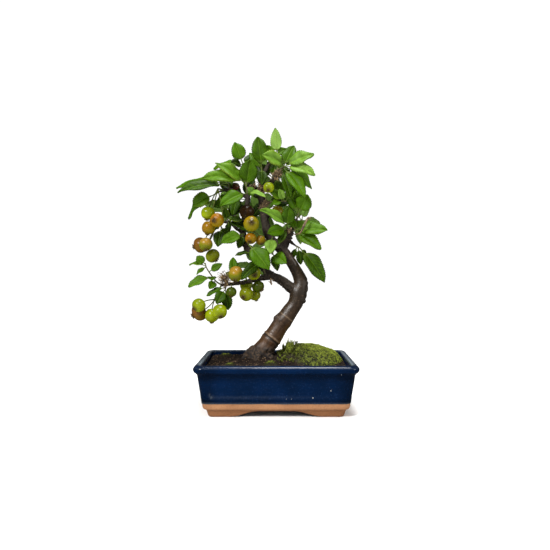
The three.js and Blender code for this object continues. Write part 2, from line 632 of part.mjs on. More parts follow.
// Leaves stand round a short shoot at the golden angle, spread out and droop a little at their tips.
function rosetteParts({ at, towards, leaves, length, seed }) {
  const axis = vector(towards).normalize();
  const across = perpendicular(new THREE.Vector3(1, 0, 0), axis);
  const up = axis.clone().cross(across);
  const top = vector(at).addScaledVector(axis, 11);
  const rows = [[...at, 1.6], [...top.toArray(), 1.1]];
  const blades = Array.from({ length: leaves }, (_, i) => {
    const around = 2.4 * i + seed;
    const spread = 1.15 - 0.12 * i + 0.3 * draw(seed + i);
    const reach = length * (0.8 + 0.3 * draw(seed + 2 * i + 1));
    const out = across.clone().multiplyScalar(Math.cos(around)).addScaledVector(up, Math.sin(around));
    const base = vector(at).addScaledVector(axis, 2 + (9 * i) / leaves).addScaledVector(out, 0.4);
    const tip = base.clone().addScaledVector(axis, reach * Math.cos(spread))
      .addScaledVector(out, reach * Math.sin(spread));
    tip.z -= 0.12 * reach;
    const facing = axis.clone().add(new THREE.Vector3(0, 0, 0.8));
    return { base, tip, width: 0.47 * reach, arch: 0.07, facing };
  });
  return { rows, blades };
}

const leafySolid = ({ rows, blades }, grow = 0) =>
  join([limb(rows, 3, grow), ...blades.map((blade) => leafSolid(blade, grow))]);

// ---- fruit ----
// Each bunch: the spur and, where the stalks share one, the end of the common stalk, then its fruit:
// x, y, z, radius, the way the calyx looks, length over width.
const BUNCHES = {
  fruit_left_top: {
    spur: [-74, -2, 297], stalk: [-79, -15, 297],
    fruit: [
      [-93, -9, 265, 9.5, [-0.2, -0.2, -1], 1], [-79, -24, 254, 9.5, [-0.4, -0.9, -0.1], 0.95],
      [-92, -12, 245, 9.1, [-0.2, -0.1, -1], 1.06],
    ],
  },
  fruit_left_hook: {
    spur: [-82, 9, 246], stalk: [-87, 4, 241],
    fruit: [
      [-105, 1, 222, 10.8, [-1, -0.2, -0.3], 0.92], [-95, -18, 222, 9.3, [0.1, -0.5, -0.9], 1],
      [-87, -6, 207, 9.9, [0.6, -0.3, -0.7], 0.92],
    ],
  },
  fruit_centre: {
    spur: [-44, 3, 240], stalk: [-30, -9, 240],
    fruit: [
      [-33, -26, 249, 10.6, [0.05, -1, 0.15], 0.92], [-34, -20, 230, 7.8, [-0.2, -0.7, -0.6], 1],
      [-21, -12, 228, 6.8, [0.2, -0.5, -0.8], 1],
    ],
  },
  fruit_crown: { spur: [-10, 1, 307], fruit: [[-10, -17, 299, 7.3, [-0.1, -0.7, -0.6], 1]] },
  fruit_inner: { spur: [-17, 5, 269], fruit: [[2, 4, 268, 8.6, [0.1, -0.3, -1], 1.05]] },
  fruit_low_upper: {
    spur: [-40, -14, 172], stalk: [-41, -20, 177],
    fruit: [[-54, -25, 182, 9.6, [-0.1, -0.6, -0.8], 1.22], [-30, -25, 183, 9.3, [0.2, -0.8, -0.3], 0.95]],
  },
  fruit_low_single: { spur: [-61, -13, 168], fruit: [[-60, -24, 158, 7.1, [0, -0.4, -0.9], 1]] },
  fruit_low_under: {
    spur: [-33, -13, 174], stalk: [-33, -14, 166],
    fruit: [
      [-40, -23, 155, 9.4, [-0.4, -0.8, -0.4], 1], [-29, -6, 153, 7.9, [0.3, 0.1, -1], 1],
      [-24, -20, 165, 8.1, [0.7, -0.4, -0.6], 1], [-42, 3, 166, 8.2, [-0.5, 0.4, -0.8], 1],
    ],
  },
  fruit_low_tip: {
    spur: [-75, -11, 166], stalk: [-84, -10, 147],
    fruit: [
      [-104, -21, 140, 9.3, [-0.6, -0.6, -0.5], 1], [-106, -1, 129, 12, [-0.9, -0.2, -0.5], 0.9],
      [-75, -29, 132, 9.8, [0.2, -0.7, -0.7], 1], [-87, -15, 126, 9.5, [0, -0.2, -1], 1.1],
    ],
  },
  fruit_shaded: { spur: [-42, 5, 278], fruit: [[-40, -9, 267, 10.2, [0, -0.6, -0.8], 0.95]] },
  fruit_dried: { spur: [-56, 1, 296], fruit: [[-55, -8, 302, 5.2, [0.2, -0.9, 0.3], 0.9]] },
};

// A crabapple turned about its own axis: calyx crown below, stalk pit above.
const FRUIT_PROFILE = [
  [0, -0.86], [0.27, -1.08], [0.84, -0.55], [1, 0.1], [0.72, 0.72], [0, 0.84],
];

function bunchSolid({ spur, stalk, fruit }, grow = 0) {
  const root = vector(stalk ?? spur);
  const shared = stalk ? [limb([[...spur, 1.2], [...stalk, 1.2]], 4, grow)] : [];
  return join([...shared, ...fruit.flatMap(([x, y, z, radius, calyx, stretch]) => {
    const centre = new THREE.Vector3(x, y, z);
    const upwards = vector(calyx).normalize().negate();
    const outline = FRUIT_PROFILE.map(([out, high]) => new THREE.Vector2(
      out === 0 ? 0 : out * radius + grow, high * radius * stretch + (high < 0 ? -grow : grow)));
    const ball = new THREE.LatheGeometry(outline, FRUIT_SIDES).rotateX(Math.PI / 2);
    ball.applyQuaternion(new THREE.Quaternion().setFromUnitVectors(new THREE.Vector3(0, 0, 1), upwards));
    const seat = centre.clone().addScaledVector(upwards, 0.6 * radius * stretch);
    const bend = seat.clone().addScaledVector(upwards, 0.45 * seat.distanceTo(root));
    const pedicel = new THREE.QuadraticBezierCurve3(root, bend, seat).getPoints(2);
    const rows = pedicel.map((point) => [...point.toArray(), 0.85]);
    return [solidOf(ball.translate(x, y, z)), limb(rows, 3, grow)];
  })]);
}

// ---- colours ----
const FINISH = {
  glaze: { color: 0x0e2350, roughness: 0.12, metalness: 0 },
  mesh: { color: 0x2c2f30, roughness: 0.6, metalness: 0 },
  soil: { color: 0x2b2119, roughness: 1, metalness: 0 },
  moss: { color: 0x56702a, roughness: 1, metalness: 0 },
  bark: { color: 0x4b3a31, roughness: 0.65, metalness: 0 },
  leaf: { color: 0x4c8418, roughness: 0.45, metalness: 0 },
  fruit: { color: 0xa9a52c, roughness: 0.25, metalness: 0 },
};

// ---- assembly ----
// Pieces are settled in this order; a later piece keeps clear of the grown form of the earlier ones.
const settled = [];

function settle(name, finish, solid, grown) {
  const clear = settled.filter((other) => boxesMeet(solid, other.grown))
    .reduce((rest, other) => rest.subtract(other.grown), solid);
  settled.push({ name, finish, solid: largest(clear), grown });
}

function addPlain(name, finish, solid) {
  settled.push({ name, finish, solid, grown: solid });
}

const wood = makeWood();
const woodGrown = makeWood(GAP);
const soil = makeSoil([woodGrown, drainPlate(-DRAIN.x, GAP), drainPlate(DRAIN.x, GAP)]);
const raisedSoil = soil.translate([0, 0, GAP]);
const MOSS = { // x, y, reach along x, reach along y, rise
  moss_mound: [49, 14, 40, 43, 14],
  moss_patch_back: [-74, 50, 9, 7, 3.5],
  moss_patch_front: [-7, -34, 9, 8, 3.5],
  moss_patch_left: [-62, -30, 7, 6, 2.5],
};

addPlain("pot", FINISH.glaze, makePot());
addPlain("drain_screen_left", FINISH.mesh, drainScreen(-DRAIN.x));
addPlain("drain_screen_right", FINISH.mesh, drainScreen(DRAIN.x));
addPlain("soil", FINISH.soil, largest(soil));
Object.entries(MOSS).forEach(([name, place], index) => {
  const sides = index === 0 ? 15 : 7;
  addPlain(name, FINISH.moss, mossCushion(place, 40 * index + 3, sides, raisedSoil.add(woodGrown)));
});
settled.push({ name: "trunk", finish: FINISH.bark, solid: wood, grown: woodGrown });
for (const [name, bunch] of Object.entries(BUNCHES)) {
  settle(name, FINISH.fruit, bunchSolid(bunch), bunchSolid(bunch, GAP));
}
const LEAFY = {
  ...Object.fromEntries(Object.entries(SHOOTS).map(([name, shoot]) => [name, shootParts(shoot)])),
  ...Object.fromEntries(Object.entries(ROSETTES).map(([name, rosette]) => [name, rosetteParts(rosette)])),
};
for (const [name, parts] of Object.entries(LEAFY)) {
  settle(name, FINISH.leaf, leafySolid(parts), leafySolid(parts, GAP));
}

const tree = new THREE.Group();
tree.name = "crabapple_bonsai";
for (const { name, finish, solid } of settled) {
  const mesh = new THREE.Mesh(geometryOf(solid), new THREE.MeshStandardMaterial(finish));
  mesh.name = name;
  tree.add(mesh);
}

// Origin at the middle of the whole box's underside.
const bounds = new THREE.Box3().setFromObject(tree);
const middle = bounds.getCenter(new THREE.Vector3());
tree.position.set(-middle.x, -middle.y, -bounds.min.z);

export default tree;
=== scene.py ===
# Crabapple bonsai in a glazed pot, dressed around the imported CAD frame.
# Every place below is in millimetres from the middle of the pot at table level: +X right, +Y back, +Z up.
import math

import bpy
import numpy as np
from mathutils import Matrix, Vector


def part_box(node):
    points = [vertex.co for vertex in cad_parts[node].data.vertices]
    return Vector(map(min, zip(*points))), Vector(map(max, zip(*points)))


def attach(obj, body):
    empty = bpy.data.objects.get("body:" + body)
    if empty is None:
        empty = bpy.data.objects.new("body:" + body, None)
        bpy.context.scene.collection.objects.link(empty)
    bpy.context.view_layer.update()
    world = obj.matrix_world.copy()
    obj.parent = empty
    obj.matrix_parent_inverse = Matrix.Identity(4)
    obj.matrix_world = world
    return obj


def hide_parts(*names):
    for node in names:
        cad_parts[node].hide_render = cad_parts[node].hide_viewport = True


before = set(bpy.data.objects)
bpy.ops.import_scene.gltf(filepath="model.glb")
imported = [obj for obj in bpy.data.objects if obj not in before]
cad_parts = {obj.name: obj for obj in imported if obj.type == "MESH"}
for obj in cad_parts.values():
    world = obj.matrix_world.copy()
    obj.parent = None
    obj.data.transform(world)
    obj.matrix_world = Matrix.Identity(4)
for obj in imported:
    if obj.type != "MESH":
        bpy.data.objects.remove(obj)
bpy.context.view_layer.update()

potLow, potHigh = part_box("pot")
home = np.array([(potLow.x + potHigh.x) / 2, (potLow.y + potHigh.y) / 2, potLow.z])  # the pot's middle
print("frame loaded")

camera = {"x": -1.5, "y": -748.5, "height": 182, "lens": 35.41, "sensor": 36, "shiftY": -0.0018, "seesTo": 50}
studio = {
    "light": 0.5, "sheen": 0.08, "backdrop": 1.05,  # the room as light, as a reflection, and as seen
    "floorColour": "#f7f6f4", "floorHalf": 9000,
    "floorGlow": 0.64, "glowFrom": 0.25, "glowFull": 1.4,  # the floor glows evenly past these metres
    # name: place, where it points, width, watts
    "lights": {
        "softboxLeft": ((-560, -800, 820), (-10, 0, 190), 300, 17.5),
        "softboxTop": ((60, -120, 1100), (0, 0, 150), 420, 15.5),
        "stripRight": ((900, -500, 500), (0, 0, 150), 240, 3.0),
    },
}


def toMetres(points):  # from layout millimetres to the frame's metres
    return np.asarray(points, float) / 1000 + home


# Puts a lamp or the camera in its place: pitch comes from the drop to the target, turn from the flat way.
def aim(thing, place, target):
    start, end = toMetres(place), toMetres(target)
    way = end - start
    flat = math.hypot(way[0], way[1])
    thing.location = start
    thing.rotation_euler = (math.atan2(flat, -way[2]), 0, math.atan2(way[1], way[0]) - math.pi / 2)


scene = bpy.context.scene
scene.view_settings.view_transform = "Standard"
viewer = bpy.data.cameras.new("camera")
viewer.sensor_width = camera["sensor"]
viewer.lens = camera["lens"]
viewer.shift_y = camera["shiftY"]
viewer.clip_end = camera["seesTo"]
viewerObject = bpy.data.objects.new("camera", viewer)
scene.collection.objects.link(viewerObject)
stand = (camera["x"], camera["y"], camera["height"])
aim(viewerObject, stand, (camera["x"], 0, camera["height"]))
scene.camera = viewerObject

for name, (place, target, width, watts) in studio["lights"].items():
    lamp = bpy.data.lights.new(name, "AREA")
    lamp.size = width / 1000
    lamp.energy = watts
    lampObject = bpy.data.objects.new(name, lamp)
    scene.collection.objects.link(lampObject)
    aim(lampObject, place, target)


def linear(hexColour):  # sRGB hex to linear RGBA: a power of 2.4 with a straight foot
    parts = np.array([int(hexColour[i:i + 2], 16) for i in (1, 3, 5)]) / 255
    values = np.where(parts <= 0.04045, parts / 12.92, ((parts + 0.055) / 1.055) ** 2.4)
    return (*map(float, values), 1.0)


def scatter(values):  # a repeatable number in 0..1: what is left over of a large multiple of the sine
    wave = np.sin(values) * 43758.5453
    return wave - np.floor(wave)


def draw(number):  # the same for a whole number
    return scatter(np.asarray(number, float) * 12.9898)


def unit(vectors):  # each vector over its length
    vectors = np.asarray(vectors, float)
    return vectors / np.linalg.norm(vectors, axis=-1, keepdims=True)


def smoothStep(values, low, high):  # 0 up to low, 1 from high, three squares less two cubes between
    t = np.clip((values - low) / (high - low), 0, 1)
    return t * t * (3 - 2 * t)


def bump(values, middle, reach):  # a bell of height 1: e to minus the square of distance over reach
    return np.exp(-((values - middle) / reach) ** 2)


# Smooth noise in -1..1: a random value at each corner of a cubic lattice, blended by smoothed distances.
def softNoise(points, size, seed=0):
    cell = np.asarray(points, float) / size + 31.7 * seed
    low = np.floor(cell)
    t = cell - low
    t = t * t * (3 - 2 * t)
    total = np.zeros(cell.shape[:-1])
    for corner in np.ndindex(2, 2, 2):
        weight = np.prod(np.where(np.array(corner) == 1, t, 1 - t), axis=-1)
        total += weight * scatter((low + corner) @ np.array([12.9898, 78.233, 37.719]))
    return 2 * total - 1


# Quads between neighbouring rows and columns of a grid; wrapped joins the last column to the first.
def gridFaces(rows, columns, wrapped=False):
    row = np.arange(rows - 1)[:, None]
    column = np.arange(columns if wrapped else columns - 1)[None, :]
    a = row * columns + column
    b = row * columns + (column + 1) % columns
    return np.stack([a, b, b + columns, a + columns], -1).reshape(-1, 4)


# A closed tube: rings of points in order, and a pole beyond the first and the last ring.
def tubeShape(rings, startPole, endPole, **values):
    count, around = rings.shape[:2]
    first = np.arange(around)
    second = (first + 1) % around
    last = (count - 1) * around
    start = np.full(around, count * around)
    triangles = np.vstack([
        np.stack([second, first, start], 1),
        np.stack([last + first, last + second, start + 1], 1),
    ])
    shape = {
        "points": np.vstack([rings.reshape(-1, 3), startPole, endPole]),
        "quads": gridFaces(count, around, True),
        "triangles": triangles,
    }
    for name, value in values.items():
        value = np.broadcast_to(value, (count, around))
        shape[name] = np.concatenate([value.ravel(), [value[0].mean(), value[-1].mean()]])
    return shape


# Many shapes as one: corner numbers are shifted past the shapes before them.
def joinShapes(shapes):
    names = sorted({name for shape in shapes for name in shape} - {"points", "quads", "triangles"})
    joined = {"points": np.vstack([shape["points"] for shape in shapes])}
    starts = np.cumsum([0] + [len(shape["points"]) for shape in shapes[:-1]])
    for kind, width in (("quads", 4), ("triangles", 3)):
        parts = [shape[kind] + start for shape, start in zip(shapes, starts) if kind in shape]
        joined[kind] = np.vstack(parts) if parts else np.zeros((0, width), int)
    for name in names:  # a shape without the value gets 0, or a plain grey skin
        missing, width = ((0.5, 0.5, 0.5, 1), (4,)) if name == "skin" else (0.0, ())
        joined[name] = np.concatenate([
            np.broadcast_to(shape.get(name, missing), (len(shape["points"]), *width)) for shape in shapes])
    return joined


# Two shapes as one, and for each face which of the two it belongs to.
def pairShapes(first, second):
    index = np.concatenate([np.repeat([0, 1], [len(first[kind]), len(second[kind])])
                            for kind in ("quads", "triangles")])
    return joinShapes([first, second]), index


# A curve from start to end that bends towards a third point: the quadratic blend of the three.
def bentPath(start, bend, end, share):
    return (1 - share) ** 2 * start + 2 * share * (1 - share) * bend + share**2 * end


# Catmull-Rom: each span between two rows is a cubic of the four nearest rows.
def smoothRows(rows, steps):
    rows = np.asarray(rows, float)
    wide = np.vstack([2 * rows[0] - rows[1], rows, 2 * rows[-1] - rows[-2]])
    t = (np.arange(steps) / steps)[:, None]
    basis = np.hstack([-t + 2 * t**2 - t**3, 2 - 5 * t**2 + 3 * t**3,
                       t + 4 * t**2 - 3 * t**3, t**3 - t**2]) / 2
    spans = np.stack([wide[i:i + len(rows) - 1] for i in range(4)])
    return np.vstack([np.einsum("tk,ksd->std", basis, spans).reshape(-1, rows.shape[1]), rows[-1]])


# Two directions across a path: the tangent crossed with the axis that it follows least, then once more.
def pathFrames(path):
    tangent = unit(np.gradient(path, axis=0))
    axis = np.eye(3)[np.argmin(np.abs(tangent).max(0))]
    across = unit(np.cross(tangent, axis))
    return tangent, across, np.cross(tangent, across)


# A limb: circles carried along rows of x, y, z, radius, with domed ends.
def limbShape(rows, around, steps=1, **values):
    rows = smoothRows(rows, steps) if steps > 1 else np.asarray(rows, float)
    path, radius = rows[:, :3], rows[:, 3]
    tangent, across, up = pathFrames(path)
    angle = 2 * np.pi * np.arange(around) / around
    circle = np.cos(angle)[None, :, None] * across[:, None] + np.sin(angle)[None, :, None] * up[:, None]
    rings = path[:, None] + radius[:, None, None] * circle
    startDome, endDome = 0.5 * radius[0] * tangent[0], 0.6 * radius[-1] * tangent[-1]
    return tubeShape(rings, path[0] - startDome, path[-1] + endDome, **values)


# One mesh object: corners, faces, point values and materials, riding on the body and standing for its nodes.
def makePiece(name, shape, finishes, nodes, finishIndex=None, smooth=True):
    quads, triangles = shape["quads"], shape["triangles"]
    corners = np.concatenate([quads.ravel(), triangles.ravel()]).astype(np.int32)
    starts = np.concatenate([4 * np.arange(len(quads)), 4 * len(quads) + 3 * np.arange(len(triangles))])
    mesh = bpy.data.meshes.new(name)
    mesh.vertices.add(len(shape["points"]))
    mesh.vertices.foreach_set("co", toMetres(shape["points"]).ravel())
    mesh.loops.add(len(corners))
    mesh.loops.foreach_set("vertex_index", corners)
    mesh.polygons.add(len(starts))
    mesh.polygons.foreach_set("loop_start", starts.astype(np.int32))
    mesh.polygons.foreach_set("use_smooth", np.full(len(starts), smooth))
    for finish in finishes:
        mesh.materials.append(finish)
    if finishIndex is not None:
        mesh.polygons.foreach_set("material_index", np.asarray(finishIndex, np.int32))
    mesh.update()
    for value in sorted(set(shape) - {"points", "quads", "triangles"}):
        if value == "skin":
            mesh.attributes.new(value, "FLOAT_COLOR", "POINT").data.foreach_set("color", shape[value].ravel())
        else:
            mesh.attributes.new(value, "FLOAT", "POINT").data.foreach_set("value", shape[value])
    piece = bpy.data.objects.new(name, mesh)
    scene.collection.objects.link(piece)
    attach(piece, "root")
    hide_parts(*nodes)
    return piece


# An object that isn't a piece: the floor, a cutter, or limbs that are yet to be fused.
def plainObject(name, points, *faces):
    mesh = bpy.data.meshes.new(name)
    mesh.from_pydata(toMetres(points).tolist(), [], [face for kind in faces for face in kind.tolist()])
    made = bpy.data.objects.new(name, mesh)
    scene.collection.objects.link(made)
    return made


# Adds a node: settings are its own properties, and inputs are constants or other nodes' outputs.
def addNode(tree, kind, settings=None, inputs=None):
    node = tree.nodes.new(kind)
    for key, value in (settings or {}).items():
        setattr(node, key, value)
    for key, value in (inputs or {}).items():
        if isinstance(value, bpy.types.NodeSocket):
            tree.links.new(value, node.inputs[key])
        else:
            node.inputs[key].default_value = value
    return node


# A material whose Principled shader holds the given constants, and the place that its patterns follow.
def newFinish(name, constants):
    finish = bpy.data.materials.new(name)
    finish.use_nodes = True
    tree = finish.node_tree
    shader = tree.nodes["Principled BSDF"]
    for key, value in constants.items():
        shader.inputs[key].default_value = value
    return finish, tree, shader, addNode(tree, "ShaderNodeTexCoord").outputs["Object"]


def perMetre(millimetres):  # texture scale for a pattern of this size
    return 1000 / millimetres


# The nodes that the patterns are made of: each function gives back the output that carries the result.
def storedValue(tree, name):  # a value kept at the mesh's corners
    return addNode(tree, "ShaderNodeAttribute", {"attribute_name": name}).outputs["Fac"]


def noiseNode(tree, place, grain, detail):  # cloudy noise with its grain in millimetres
    inputs = {"Vector": place, "Scale": perMetre(grain), "Detail": detail}
    return addNode(tree, "ShaderNodeTexNoise", {}, inputs).outputs["Fac"]


def mixNode(tree, share, first, second):  # two colours, each sRGB hex or a socket, the second by its share
    first, second = (linear(colour) if isinstance(colour, str) else colour for colour in (first, second))
    return addNode(tree, "ShaderNodeMix", {"data_type": "RGBA"}, {0: share, 6: first, 7: second}).outputs[2]


# Maps low..high to start..end and holds it at both ends, straight or as a smooth step.
def rampNode(tree, value, low=0.0, high=1.0, start=0.0, end=1.0, smooth=False):
    settings = {"interpolation_type": "SMOOTHSTEP" if smooth else "LINEAR"}
    inputs = {"Value": value, "From Min": low, "From Max": high, "To Min": start, "To Max": end}
    return addNode(tree, "ShaderNodeMapRange", settings, inputs).outputs["Result"]


def mathNode(tree, operation, *values, clamped=False):  # arithmetic, held in 0..1 where clamped
    settings = {"operation": operation, "use_clamp": clamped}
    return addNode(tree, "ShaderNodeMath", settings, dict(enumerate(values))).outputs[0]


def bumpNode(tree, strength, depth, height):  # relief with its depth in metres
    inputs = {"Strength": strength, "Distance": depth, "Height": height}
    return addNode(tree, "ShaderNodeBump", {}, inputs).outputs["Normal"]


leafTurn = 2.4  # radians from one leaf or leaflet to the next, up a stem

floorCorners = studio["floorHalf"] * np.array([(-1, -1, 0), (1, -1, 0), (1, 1, 0), (-1, 1, 0)])
floor = plainObject("floor", floorCorners, np.array([[0, 1, 2, 3]]))
# Painted floor: matt white, lit by the softboxes near the pot and glowing evenly beyond their reach.
floorFinish, tree, shader, place = newFinish("paintedFloor", {
    "Roughness": 0.9, "Specular IOR Level": 0.1, "Base Color": linear(studio["floorColour"]),
    "Emission Color": (1, 1, 1, 1)})
away = addNode(tree, "ShaderNodeVectorMath", {"operation": "LENGTH"}, {0: place})
glow = rampNode(tree, away.outputs["Value"], studio["glowFrom"], studio["glowFull"],
                end=studio["floorGlow"], smooth=True)
tree.links.new(glow, shader.inputs["Emission Strength"])
floor.data.materials.append(floorFinish)
floor.visible_glossy = False

# The room: one strength as light, a dimmer one in reflections, and plain white behind the tree.
world = bpy.data.worlds.new("studio")
world.use_nodes = True
tree = world.node_tree
ray = addNode(tree, "ShaderNodeLightPath")
seen = mathNode(tree, "MULTIPLY_ADD", ray.outputs["Is Camera Ray"], studio["backdrop"] - studio["light"],
                studio["light"])
mirrored = mathNode(tree, "MULTIPLY_ADD", ray.outputs["Is Glossy Ray"], studio["sheen"] - studio["light"],
                    seen)
tree.nodes["Background"].inputs["Color"].default_value = (1, 1, 1, 1)
tree.links.new(mirrored, tree.nodes["Background"].inputs["Strength"])
scene.world = world
print("camera, floor and lights ready")


pot = {
    "length": 210, "depth": 157, "underside": 7.0, "floorTop": 13.0, "floorRings": 16,
    "corner": 12, "leastCorner": 5, "cornerColumns": 14, "columnStep": 1.8,
    # inset from the rim and height: from the foot's inside and under it, up the wall, over the lip, down to
    # the floor
    "inside": [[30.2, 6.9], [30.2, 5.5], [30.2, 1.1], [29.6, 0.2], [28.6, 0], [19.6, 0], [18.5, 0.3]],
    "foot": [[18.0, 1.0], [17.0, 4.0], [15.8, 7.8], [15.2, 9.0], [13.6, 9.9], [12.2, 10.9], [11.3, 12.4],
             [10.9, 14.5], [10.55, 17.6], [10.4, 18.0]],
    "glazed": [[10.0, 18.3], [9.75, 19.2], [8.4, 30], [6.5, 42], [5.0, 52.6], [4.6, 54.3], [3.9, 55.7],
               [2.9, 56.8], [1.4, 58.2], [0.4, 59.8], [0, 61.6], [0.2, 63.2], [0.8, 64.5], [1.8, 65.6],
               [3.1, 66.4], [4.8, 66.9], [6.6, 67], [8.0, 66.5], [8.9, 65.4], [9.4, 63.8], [10.3, 57],
               [14.4, 38], [18.7, 18.4], [20, 15.2], [22, 13.4], [24, 13]],
    "archHeight": 8.2, "frontArch": (61, 22), "sideArch": (42, 15),  # where an arch starts and is highest
    "wallLow": 20, "wallHigh": 56, "wallInset": 10.5, "innerRows": 40, "glazeLine": 19,
    "panel": {"halfLength": 84, "halfDepth": 57, "low": 26, "high": 51,
              "corner": 6, "sunk": 0.9, "edge": 2.0},
    "drainX": 45, "drainRadius": 7,
    "waver": ((0.22, 26, 3), (0.07, 5, 4)),  # hand-finished walls aren't quite flat: height, size, noise seed
    # chips in the front wall's glaze: place, radius
    "chips": [((46.1, -69.4, 26.4), 0.9), ((68.6, -70.1, 35.5), 0.7), ((81.2, -75.5, 56.6), 0.6),
              ((12.7, -69.5, 25.1), 0.45), ((19.1, -69.5, 25.0), 0.5), ((69.4, -70.2, 37.6), 0.45)],
}


# Columns round a rectangle with round corners: each is a blend of two corner points at a given angle.
def outlineColumns():
    turns = pot["cornerColumns"]
    arc = np.linspace(0, 1, turns + 1)[:-1]
    columns = []
    for side in range(4):
        straight = (pot["depth"], pot["length"])[side % 2 == 0] - 2 * pot["corner"]
        line = np.linspace(0, 1, int(straight / pot["columnStep"]) + 1)[:-1]
        here = np.full(turns, side)
        columns.append(np.stack([here, (side + arc) * np.pi / 2, here, arc * 0], 1))
        turned = (side + 1) % 4
        angle = np.full(len(line), (side + 1) * np.pi / 2)
        columns.append(np.stack([np.full(len(line), side), angle, np.full(len(line), turned), line], 1))
    return np.vstack(columns)


# Rings of the outline: drawn in by an inset, with tighter corners, shrunk to a share, each at its height.
def outlineRings(inset, height, columns, share):
    inset, height, share = inset[:, None], height[:, None], share[:, None]
    radius = np.maximum(pot["corner"] - 0.3 * inset, pot["leastCorner"])
    halfLength, halfDepth = pot["length"] / 2 - inset, pot["depth"] / 2 - inset
    signX, signY = np.array([1, -1, -1, 1]), np.array([1, 1, -1, -1])
    start, angle, end, blend = columns.T
    start, end = start.astype(int), end.astype(int)

    def corner(which):  # a point on that corner's arc, at the column's angle
        return (signX[which] * (halfLength - radius) + radius * np.cos(angle),
                signY[which] * (halfDepth - radius) + radius * np.sin(angle))

    (xA, yA), (xB, yB) = corner(start), corner(end)
    x, y = (xA + (xB - xA) * blend) * share, (yA + (yB - yA) * blend) * share
    return np.stack([x, y, np.broadcast_to(height, x.shape)], -1)


# The pot: its wall profile carried round the outline, feet left between raised arches, panels pressed in.
def potShape():
    columns = outlineColumns()
    walls = [smoothRows(pot[key], steps) for key, steps in (("inside", 3), ("foot", 3), ("glazed", 4))]
    flat = pot["floorRings"]  # rings of the underside, and as many of the floor
    inner = np.linspace(0.06, 0.97, flat)
    inset, height = np.vstack(walls).T
    share = np.concatenate([inner, np.ones(len(inset)), inner[::-1]])
    inset = np.concatenate([np.full(flat, pot["inside"][0][0]), inset, np.full(flat, pot["glazed"][-1][0])])
    height = np.concatenate([np.full(flat, pot["underside"]), height, np.full(flat, pot["floorTop"])])
    rings = outlineRings(inset, height, columns, share)
    x, y, z = np.moveaxis(rings, -1, 0)
    row, inset, share = np.arange(len(inset))[:, None], inset[:, None], share[:, None]
    glazed = (row >= flat + len(walls[0]) + len(walls[1])).astype(float)
    # which wall a column stands on: 1 for front and back, 0 for the two ends
    wide = (np.abs(y).max(0) > pot["depth"] / 2 - pot["corner"]).astype(float)[None, :]
    outer = (row > flat + len(walls[0])) & (row < len(row) - pot["innerRows"])

    panel = pot["panel"]
    reach = np.where(wide > 0, panel["halfLength"], panel["halfDepth"])
    place = np.where(wide > 0, np.abs(x), np.abs(y))
    half = (panel["high"] - panel["low"]) / 2
    overX = place - (reach - panel["corner"])
    overZ = np.abs(z - panel["low"] - half) - (half - panel["corner"])
    distance = (np.hypot(np.maximum(overX, 0), np.maximum(overZ, 0)) + np.minimum(np.maximum(overX, overZ), 0)
                - panel["corner"])  # from the panel's edge, below 0 inside it
    outside = outer & (z > pot["wallLow"]) & (z < pot["wallHigh"]) & (inset < pot["wallInset"])
    pressed = np.where(outside, panel["sunk"] * smoothStep(-distance, 0, panel["edge"]), 0)
    waver = sum(depth * softNoise(rings, size, seed) for depth, size, seed in pot["waver"])
    moved = np.where(outside | (z > 50), waver, 0) - pressed
    x = x + np.where(wide > 0, 0, np.sign(x)) * moved
    y = y + np.where(wide > 0, np.sign(y), 0) * moved
    nearLine = glazed * (np.abs(z - pot["glazeLine"]) < 3)  # the glaze ends in a wavering line
    z = z + np.where(nearLine, 0.35 * softNoise(rings, 14, 9), 0)

    wideArch, narrowArch = pot["frontArch"], pot["sideArch"]
    arch = np.where(wide > 0, smoothStep(wideArch[0] - np.abs(x), 0, wideArch[0] - wideArch[1]),
                    smoothStep(narrowArch[0] - np.abs(y), 0, narrowArch[0] - narrowArch[1]))
    arch = arch * pot["archHeight"] * (share == 1)
    z = np.where(z < arch, arch + 0.02 * z, z)

    # the lip's top edges and the panel's low edge, more to the left, are painted paler as highlights; the
    # glaze is thin and worn at the pot's ends and where it stops
    lip = 0.1 * bump(z, 64.6, 1.2) * bump(inset, 0.8, 1.2) + bump(inset, 7.6, 1.4) * bump(z, 66.6, 1.4)
    endLip = 0.9 * (wide < 1) * bump(z, 66.6, 1.6) * bump(inset, 4.5, 4)
    lowEdge = 0.5 * bump(distance, 0.2, 0.9) * smoothStep(34 - z, 0, 8) * smoothStep(96 - x, 0, 130)
    border = glazed * bump(z, 18.4, 0.7) * 0.6
    thin = lip + endLip + np.where(outside, lowEdge, 0) + border
    under = smoothStep(inset, 18.2, 19.0) * (1 - glazed)  # painted shade: dark grey clay under the foot
    # painted shade: the glaze is darkened under the lip, at the foot of the wall and round its corners
    pool = outer * np.clip(0.6 * smoothStep(z, 44, 55) * smoothStep(60 - z, 0, 4.5)
                           + 0.35 * smoothStep(27 - z, 0, 6)
                           + 0.4 * smoothStep(place - reach, -16, 6), 0, 0.75)
    shape = tubeShape(np.stack([x, y, z], -1), [0, 0, pot["underside"]], [0, 0, pot["floorTop"]],
                      thin=thin, under=under, pool=pool)
    return shape, glazed[:, 0], len(columns)
